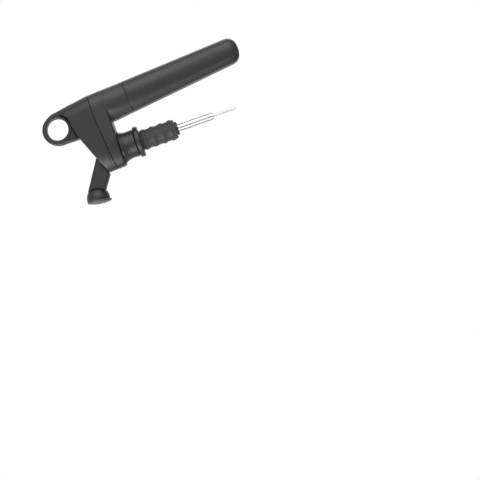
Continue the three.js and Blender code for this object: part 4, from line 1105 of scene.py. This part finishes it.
class FrameOperator(bpy.types.Operator):
    """Builds the rear frame: the lower shell of the head with the root of the handle"""

    bl_idname = "dispenser.rear_frame"
    bl_label = "Rear frame"

    def execute(self, context):
        rear = np.full(section_columns().shape[1], HEAD["rear"])
        seam = -HEAD["seam_gap"]

        def downwards(at):
            return np.array([0.0, 0.0, -1.0]) + 0 * at

        edge, rim = sizes().rear_edge / MM, sizes().frame_rim / MM
        inner_seam = on_seam(seam - HEAD["seam_slant"], WALL)
        outer = side_of(rear, on_seam(seam, 0.0), 0.0, downwards, edge, rim, -1.0, 30)
        inner = side_of(rear + WALL, inner_seam, WALL, downwards, INNER_EDGE, 0.0, -1.0, 30)
        made = bare_object("rear_shell", tray(outer, inner))
        combined(made, [[in_frame(handle_root(), ALONG_HANDLE)]], "UNION")
        combined(made, frame_bores(), "DIFFERENCE")
        finished(made, "head", "charcoal_plastic", "rear_frame")
        return {"FINISHED"}


# The thumb button


def button_pad():
    """The pad as a closed sheet of discs, which are shares of its outline, on the head's skin and behind it.

    Its face is the smooth minimum of the skin and of the sphere that presses the dish, and falls by a quarter
    circle at the rim.
    """
    b, middle = BUTTON, (BUTTON["low"] + BUTTON["high"]) / 2
    y_edge, z_edge = rounded_rectangle(b["half"], b["high"] - b["low"], b["corner"], 120)
    share = np.concatenate([[0.0], 1 - np.linspace(1.0, 0.0, 34)[1:] ** 1.5])[:, None]
    y, z = y_edge * share, middle + z_edge * share
    skin = head_x(y, z)
    sphere = float(far_side(np.array(middle))) + b["dish"] - b["dip"]
    dish = sphere - np.sqrt(b["dish"] ** 2 - y ** 2 - (z - middle) ** 2)
    face = (skin + dish - np.sqrt((skin - dish) ** 2 + b["dish_edge"] ** 2)) / 2
    margin = np.clip((1 - share) * np.hypot(y_edge, z_edge), 0.0, b["edge"])
    face -= b["edge"] - np.sqrt(b["edge"] ** 2 - (b["edge"] - margin) ** 2)
    front = np.stack([face, y, z], axis=-1)
    back = np.stack([skin - b["thickness"], y, z], axis=-1)[::-1]
    t = np.linspace(0.0, 1.0, 6)[1:, None, None]
    wall = front[-1] * (1 - t) + back[0] * t
    return grid(np.concatenate([front, wall, back[1:]]))


def button_arm():
    """The arm that pushes the spool: the button's outline run along X, narrowed and made lower."""
    b = BUTTON
    points, faces = opening_shell(0.0, *b["arm"])
    middle = np.array([0.0, 0.0, (b["low"] + b["high"]) / 2])
    shares = (1.0, b["arm_half"] / b["half"], b["arm_height_share"])
    return (points - middle) * shares + (0.0, 0.0, b["arm_at"]), faces


def button_lip():
    """The lip behind the cover: discs of shares of a rounded rectangle, bent along the head's far side."""
    b, grow = BUTTON, BUTTON["lip"]
    low, high = b["low"] - grow, b["high"] + grow - b["lip_clear"]
    y, z = rounded_rectangle(b["half"] + grow, high - low, b["corner"] + grow, 120)
    share = np.linspace(0.0, 1.0, 16)[:, None]
    y, z = y * share, (low + high) / 2 + z * share
    skin = head_x(y, z) - WALL - GAP
    front, back = (np.stack([x, y, z], axis=-1) for x in (skin, skin - b["lip_thickness"]))
    return grid(np.concatenate([front, back[::-1]]))


class ButtonOperator(bpy.types.Operator):
    """Builds the dished thumb button, flush with the head's far side"""

    bl_idname = "dispenser.button"
    bl_label = "Thumb button"

    def execute(self, context):
        made = bare_object("thumb_pad", [button_pad(), button_arm(), button_lip()])
        finished(made, "button", "dark_plastic", "thumb_button")
        return {"FINISHED"}


# The aerator


def sleeve():
    """The sleeve along the spout: soft squares whose root follows the roof and has a rounded edge.

    A section at radius r is (r c, depth r s), where c and s are the cosine and sine, each with its sign kept
    and its size raised to the power 2 / softness.
    """
    a, edge, power = AERATOR, AERATOR["edge"], 2 / AERATOR["softness"]
    angle = np.linspace(0.0, 2 * math.pi, 128, endpoint=False)
    wide, deep = (np.sign(part) * np.abs(part) ** power for part in (np.cos(angle), np.sin(angle)))
    normal = np.array([-LOWER_SLOPE, 0.0, 1.0])
    above_roof = np.array([ROOF["low"][0] - a["shadow"] / 2, 0.0, ROOF["low"][1] + a["shadow"]])
    origin, across, _, along = ALONG_SPOUT
    end = local(DOME_AT, ALONG_SPOUT)[2]

    def at_root(radius):
        """How far along the spout a straight line at `radius` meets the plane just above the roof."""
        start = origin + radius * wide[:, None] * across
        return ((above_roof - start) @ normal) / (along @ normal)

    def section(radius, height):
        return np.stack([radius * wide, a["depth"] * radius * deep, height + 0 * angle], axis=-1)

    lip = [section(a["root"] - edge * (1 - math.sin(k)), at_root(a["root"] - edge * (1 - math.sin(k)))
                   + edge * (1 - math.cos(k))) for k in np.linspace(0.0, math.pi / 2, 6)[:-1]]
    t = np.linspace(0.0, 1.0, 40)[:, None]
    side = section(a["root"] + (a["neck"] - a["root"]) * t, (at_root(a["root"]) + edge) * (1 - t) + end * t)
    shut, open_end = section(0.0, end), section(0.0, at_root(0.0))
    return in_frame(grid(np.concatenate([open_end[None], lip, side, shut[None]])), ALONG_SPOUT)


def ball_heights():
    """Heights at even angles of the ball, from the shower's plate to its top, and its middle's height."""
    a, middle = AERATOR, local(DOME_AT, AT_FACE)[2]
    angle = np.linspace(math.asin((a["plate_height"] - middle) / a["dome"]), math.pi / 2, 60)
    return middle + a["dome"] * np.sin(angle), middle


def ball_outline(radius):
    """Outline of a ball of `radius` at the ball's heights: its circle's half chord at each of them."""
    heights, middle = ball_heights()
    return np.stack([np.sqrt(np.maximum(radius ** 2 - (heights - middle) ** 2, 0.0)), heights], axis=-1)


def beside_face(shell):
    """A shell turned about the shower's axis, shifted to the ball's middle."""
    points, faces = shell
    return in_frame((points + (local(DOME_AT, AT_FACE)[0], 0.0, 0.0), faces), AT_FACE)


def ball(grow=0.0):
    """The ball above the shower's plate, grown about its middle."""
    a, floor = AERATOR, AERATOR["plate_height"]
    outline = np.concatenate([[[0.0, floor]], ball_outline(a["dome"])])
    outline[-1, 0] = 0.0
    points, faces = turned(outline, 128)
    middle = np.array([0.0, 0.0, ball_heights()[1]])
    return beside_face(((points - middle) * ((a["dome"] + grow) / a["dome"]) + middle, faces))


def ball_room():
    """The room inside the ball: a smaller ball on a straight foot that runs past the ball's rim."""
    a = AERATOR
    radius, foot = a["dome"] - a["skin"], a["plate_height"] - OVERRUN
    inner = ball_outline(radius)
    inner = inner[inner[:, 1] <= ball_heights()[1] + radius]
    closing = [[0.0, inner[-1, 1] + a["room_tip"]]]
    outline = np.concatenate([[[0.0, foot], [radius - BROKEN, foot]], inner, closing])
    return beside_face(turned(outline, 96))


def shower_disc():
    """Outline of the shower's plate: a face that bulges by a parabola, an eased rim, and a spigot."""
    a, back = AERATOR, AERATOR["plate_height"]
    top = back + a["spigot_height"]
    share = np.linspace(0.0, 1.0, 24, endpoint=False)
    face = np.stack([(a["plate"] - a["plate_edge"]) * share, -a["bulge"] * (1 - share ** 2)], axis=-1)
    rim = softened([
        (0.0, 0.0, 0.0), (a["plate"], 0.0, a["plate_edge"]), (a["plate"], back, a["plate_back_edge"]),
        (a["spigot"], back, BROKEN / 2), (a["spigot"], top, BROKEN), (0.0, top, 0.0)], 6)[6:-6]
    return np.concatenate([face, rim, [[0.0, top]]])


def shower_holes():
    """Rods on circles about the plate's axis, turned a little about their own so that no flats line up."""
    a, top = AERATOR, AERATOR["plate_height"] + AERATOR["spigot_height"]
    cosine, sine = math.cos(a["hole_turn"]), math.sin(a["hole_turn"])
    axes = np.array([(0, 0, 0), (cosine, sine, 0), (-sine, cosine, 0), (0, 0, 1)])
    points, faces = in_frame(rod(a["hole"], -OVERRUN, top + OVERRUN, 12), axes)
    for radius, count in a["hole_circles"]:
        for turn in np.arange(count) * 2 * math.pi / count:
            yield in_frame((points + (radius * math.cos(turn), radius * math.sin(turn), 0.0), faces), AT_FACE)


class AeratorOperator(bpy.types.Operator):
    """Builds the aerator: its sleeve and dome, and the shower plate with its holes"""

    bl_idname = "dispenser.aerator"
    bl_label = "Aerator"

    def execute(self, context):
        a, end = AERATOR, local(DOME_AT, ALONG_SPOUT)[2]
        made = bare_object("aerator_shell", [sleeve()])
        stem = in_frame(rod(a["neck"] * a["depth"] - a["stem_inset"], a["stem_from"], end), ALONG_SPOUT)
        combined(made, [[ball(a["crevice"])]], "DIFFERENCE")
        combined(made, [[stem], [ball()]], "UNION")
        room = bare_object("aerator_room", [ball_room()])
        spigot_top = a["plate_height"] + a["spigot_height"] + GAP
        ways = [in_frame(rod(a["fit"], a["fit_from"], end), ALONG_SPOUT),
                in_frame(rod(a["spigot"] + GAP, a["spigot_from"], spigot_top), AT_FACE)]
        combined(room, [[way] for way in ways], "UNION")
        carve(made, room)
        finished(made, "aerator", "dark_plastic", "aerator_housing")
        plate = bare_object("shower_face", [in_frame(turned(shower_disc(), 128), AT_FACE)])
        combined(plate, [list(shower_holes())], "DIFFERENCE")
        finished(plate, "aerator", "grey_plastic", "shower_plate")
        return {"FINISHED"}


# The handle's cup, and what shows when it is off


def thread_crest(heights, turn):
    """How near a point is to the thread's crest, from 0 in its root to 1: a saw that repeats each pitch."""
    pitch = sizes().thread_pitch / MM
    return np.abs((heights / pitch - turn / (2 * math.pi)) % 1.0 - 0.5) * 2


def cup_shell():
    """The cup as a loop of sections: its skin from the tip, the rounded mouth, the thread and the bore."""
    c, lip, top = CUP, sizes().seam_edge / MM, -HANDLE["seam"]
    skin = cup_skin()
    tip, rim = skin[0].mean(axis=0) + 0 * skin[:1], skin[-1]
    turn = np.arctan2(rim[:, 1], rim[:, 0])
    k = np.linspace(0.0, math.pi / 2, 4)[1:, None, None]
    lips = rim - unit(rim * (1, 1, 0)) * lip * (1 - np.cos(k)) + np.array([0.0, 0.0, lip]) * np.sin(k)
    heights = np.linspace(top - c["mouth_edge"] - BROKEN, c["thread_floor"] + c["step_edge"], 90)[:, None]
    fade = np.minimum(top - heights, heights - c["thread_floor"]) - c["thread_fade"]
    ridge = c["ridge"] * np.clip(fade, 0.0, 1.0) * thread_crest(heights, turn)
    thread = circle(c["thread_bore"] + ridge, heights, turn)
    mouth = [(c["thread_bore"] + c["mouth_edge"], top), (c["thread_bore"], top - c["mouth_edge"])]
    bore = [(c["thread_bore"], c["thread_floor"]), (c["bore"] + c["step_edge"], c["thread_floor"]),
            (c["bore"], c["thread_floor"] - c["step_edge"]), (c["bore"], c["floor"] + c["floor_edge"]),
            (c["bore"] - c["floor_edge"], c["floor"]), (0.0, c["floor"])]
    return grid(np.concatenate([tip, skin, lips, circles(mouth, turn), thread, circles(bore, turn)]))


class CupOperator(bpy.types.Operator):
    """Builds the capsule cup, which is the lower part of the handle"""

    bl_idname = "dispenser.cup"
    bl_label = "Capsule cup"

    def execute(self, context):
        made = bare_object("handle_cup", [in_frame(cup_shell(), ALONG_HANDLE)])
        finished(made, "cup", "charcoal_plastic", "capsule_cup")
        return {"FINISHED"}


def capsule_outline():
    """Outline of the capsule: a round foot, a straight wall, a quarter ellipse for a shoulder, and a seal."""
    c = CAPSULE
    foot_z, shoulder = c["top"] - c["length"] + c["bottom"], c["top"] - c["neck_length"] - c["shoulder"]
    a = np.linspace(-math.pi / 2, 0.0, 12)
    foot = np.stack([c["radius"] - c["bottom"] * (1 - np.cos(a)), foot_z + c["bottom"] * np.sin(a)], -1)
    a = np.linspace(0.0, math.pi / 2, 18)
    neck_radius = c["neck"] + (c["radius"] - c["neck"]) * np.cos(a)
    neck = np.stack([neck_radius, shoulder + c["shoulder"] * np.sin(a)], axis=-1)
    seal = c["top"] - c["pierced_depth"]
    top = [(c["neck"], c["top"] - c["neck_edge"]), (c["neck"] - c["neck_ease"], c["top"] - c["neck_ease"]),
           (c["neck"] - c["neck_edge"], c["top"]), (c["pierced"], c["top"]), (c["pierced"], seal),
           (0.0, seal)]
    return np.concatenate([[(0.0, c["top"] - c["length"])], foot, neck, top])


def socket_shell():
    """The socket as a loop of circles: the thread, the seal's groove, the top edge and the stepped bore."""
    s, depth = SOCKET, sizes().thread_depth / MM
    turn = np.linspace(0.0, 2 * math.pi, 120, endpoint=False)
    ring_low, ring_top = s["groove_at"] - s["groove"], s["groove_at"] + s["groove"]
    heights = np.linspace(s["low"], ring_low, 150)[:, None]
    fade = np.clip(np.minimum(heights - s["low"] - s["lead"], ring_low - s["run_out"] - heights), 0.0, 1.0)
    crest = np.clip(thread_crest(heights, turn) * s["crest_gain"] - s["crest_drop"], 0.0, 1.0)
    thread = circle(s["radius"] - depth * fade * (1 - crest), heights, turn)
    rest = [
        (s["groove_floor"], ring_low), (s["groove_floor"], ring_top), (s["radius"], ring_top),
        (s["radius"], s["top"] - s["top_edge"]), (s["radius"] - s["top_edge"], s["top"]),
        (s["nose"], s["top"]), (s["nose"], s["nose_top"]), (s["bore"], s["nose_top"]), (s["bore"], s["low"])]
    return grid(np.concatenate([thread, circles(rest, turn)]), wrap_rows=True)


def nozzle_outline():
    """Outline of the nozzle: a tube with the groove for its seal."""
    n = SPOUT
    low, high = n["groove_at"] - n["groove"], n["groove_at"] + n["groove"]
    return softened([
        (n["bore"], n["inside"], EASED), (n["radius"], n["inside"], n["edge"]),
        (n["radius"], low, BROKEN), (n["groove_floor"], low, BROKEN),
        (n["groove_floor"], high, BROKEN), (n["radius"], high, BROKEN),
        (n["radius"], n["length"], n["tip_edge"]), (n["bore"], n["length"], n["edge"])])


class CartridgeOperator(bpy.types.Operator):
    """Builds what shows when the cup is off: the gas capsule, the threaded socket and the spout's nozzle"""

    bl_idname = "dispenser.cartridge"
    bl_label = "Capsule, socket and nozzle"

    def execute(self, context):
        for name, shell, axes, body, slot, node in (
                ("argon_capsule", turned(capsule_outline(), 96), ALONG_HANDLE,
                 "capsule", "stainless_steel", "gas_capsule"),
                ("capsule_socket", socket_shell(), ALONG_HANDLE, "head", "grey_plastic", "threaded_socket"),
                ("wine_nozzle", turned(nozzle_outline(), 72), ALONG_SPOUT,
                 "head", "white_plastic", "spout_nozzle")):
            finished(bare_object(name, [in_frame(shell, axes)]), body, slot, node)
        return {"FINISHED"}


# The stage, in metres, watts and degrees, seen as the photograph is

UP = Vector((0.944, 0.0, -0.330))
RIGHT = Vector((-0.330, 0.0, -0.944))
OUT = Vector((0.0, -1.0, 0.0))
CENTRE = Vector((-0.1161, 0.0, -0.0557))
CAMERA = dict(distance=1.1, half_width=0.2208, sensor=36.0, reach=20.0)
WHOLE = Vector((0.02, 0.0, 0.0))
NOSE = Vector((-0.012, 0.0, 0.034))
LAMPS = (
    dict(name="upper_softbox", aim=WHOLE, lean=40, turn=0, reach=0.8, size=(1.0, 0.66), power=8.2),
    dict(name="top_strip", aim=WHOLE, lean=72, turn=0, reach=0.8, size=(1.0, 0.3), power=2.2),
    dict(name="lower_softbox", aim=WHOLE, lean=-56, turn=0, reach=0.8, size=(1.0, 0.36), power=6.4),
    dict(name="nose_light", aim=NOSE, lean=-48, turn=-30, reach=0.3, size=(0.2, 0.1), power=0.95),
    dict(name="back_fill", aim=WHOLE, lean=40, turn=180, reach=1.4, size=(0.9, 0.9), power=4.0),
)
WORLD = dict(unseen=0.2, seen=1.0)
FLOOR = dict(radius=1.0, centre=(0.0, -0.6, -0.45), roughness=0.9, clouds=9.0, drift=0.985)


def pale_world():
    """A white world, at full strength for camera, glossy and transmission rays and dim for the others."""
    world = bpy.data.worlds.new("pale_room")
    world.use_nodes = True
    tree = world.node_tree
    back = tree.nodes["Background"]
    path = tree.nodes.new("ShaderNodeLightPath")
    seen = math_node(tree, "MAXIMUM", path.outputs["Is Camera Ray"], path.outputs["Is Transmission Ray"])
    seen = math_node(tree, "MAXIMUM", seen, path.outputs["Is Glossy Ray"])
    link(tree, ranged(tree, seen, WORLD["unseen"], WORLD["seen"], 0.0, 1.0), back.inputs["Strength"])
    back.inputs["Color"].default_value = (1.0, 1.0, 1.0, 1.0)
    return world


def hang_lamp(name, aim, lean, turn, reach, size, power):
    """An area lamp at `reach` from its aim, raised by `lean` and swung by `turn` from the camera's side."""
    lean, turn = lean * DEGREE, turn * DEGREE
    towards = math.cos(lean) * (math.cos(turn) * OUT + math.sin(turn) * RIGHT) + math.sin(lean) * UP
    light = bpy.data.lights.new(name, "AREA")
    light.shape, light.energy = "RECTANGLE", power
    light.size, light.size_y = size
    lamp = bpy.data.objects.new(name, light)
    facing = Matrix((RIGHT, towards.cross(RIGHT).normalized(), towards)).transposed()
    lamp.matrix_world = Matrix.Translation(aim + towards * reach) @ facing.to_4x4()
    return lamp


def make_viewer():
    """The camera, whose lens shows `half_width` to each side of its centre at its distance."""
    lens = bpy.data.cameras.new("camera")
    lens.sensor_width = CAMERA["sensor"]
    lens.lens = CAMERA["sensor"] / 2 * CAMERA["distance"] / CAMERA["half_width"]
    lens.clip_end = CAMERA["reach"]
    viewer = bpy.data.objects.new("camera", lens)
    facing = Matrix((RIGHT, UP, OUT)).transposed()
    place = CENTRE + OUT * CAMERA["distance"]
    viewer.matrix_world = Matrix.Translation(place) @ facing.to_4x4()
    return viewer


def make_floor():
    """A level disc whose rings widen with the square of their number, in a faintly clouded pale colour."""
    share = np.linspace(0.0, 1.0, 12)[:, None] ** 2
    angle = np.linspace(0.0, 2 * math.pi, 96, endpoint=False)
    points = circle(FLOOR["radius"] * share, 0.0 * share, angle) + FLOOR["centre"]
    mesh = bpy.data.meshes.new("floor")
    flat_points, faces = grid(points)
    mesh.from_pydata(flat_points.tolist(), [], faces.tolist())
    material = bpy.data.materials.new("pale_floor")
    material.use_nodes = True
    tree = material.node_tree
    shader = tree.nodes["Principled BSDF"]
    shader.inputs["Roughness"].default_value = FLOOR["roughness"]
    place = tree.nodes.new("ShaderNodeTexCoord").outputs["Object"]
    tone = noise(tree, place, FLOOR["clouds"]).outputs["Fac"]
    colour = finishes().floor
    drifted = [FLOOR["drift"] * channel for channel in colour]
    link(tree, mixed_colour(tree, tone, (*colour, 1.0), (*drifted, 1.0)), shader.inputs["Base Color"])
    mesh.materials.append(material)
    return bpy.data.objects.new("floor", mesh)


class StageOperator(bpy.types.Operator):
    """Sets the floor, the soft light and the camera at the photograph's angle"""

    bl_idname = "dispenser.stage"
    bl_label = "Stage"

    def execute(self, context):
        scene = context.scene
        scene.view_settings.view_transform = "Standard"
        scene.world = pale_world()
        for lamp in LAMPS:
            scene.collection.objects.link(hang_lamp(**lamp))
        viewer = make_viewer()
        scene.collection.objects.link(viewer)
        scene.camera = viewer
        floor = make_floor()
        scene.collection.objects.link(floor)
        return {"FINISHED"}


OPERATORS = (
    FinishOperator, StopperOperator, TubeOperator, CollarOperator, CoverOperator, FrameOperator,
    ButtonOperator, AeratorOperator, CupOperator, CartridgeOperator, StageOperator,
)


class DispenserPanel(bpy.types.Panel):
    """Lists the dispenser's pieces, sizes and colours in the sidebar"""

    bl_idname = "VIEW3D_PT_dispenser"
    bl_label = "Wine dispenser"
    bl_space_type = "VIEW_3D"
    bl_region_type = "UI"
    bl_category = "Dispenser"

    def draw(self, context):
        for operator in OPERATORS:
            self.layout.operator(operator.bl_idname)
        for group in (sizes(), finishes()):
            for name in group.__annotations__:
                self.layout.prop(group, name)


CLASSES = (DispenserSizes, DispenserFinishes, *OPERATORS, DispenserPanel)


def register():
    for cls in CLASSES:
        bpy.utils.register_class(cls)
    bpy.types.Scene.dispenser_sizes = bpy.props.PointerProperty(type=DispenserSizes)
    bpy.types.Scene.dispenser_finishes = bpy.props.PointerProperty(type=DispenserFinishes)


def unregister():
    del bpy.types.Scene.dispenser_finishes
    del bpy.types.Scene.dispenser_sizes
    for cls in reversed(CLASSES):
        bpy.utils.unregister_class(cls)


def main():
    register()
    for operator in OPERATORS:
        group, name = operator.bl_idname.split(".")
        getattr(getattr(bpy.ops, group), name)()


if __name__ == "__main__":
    main()
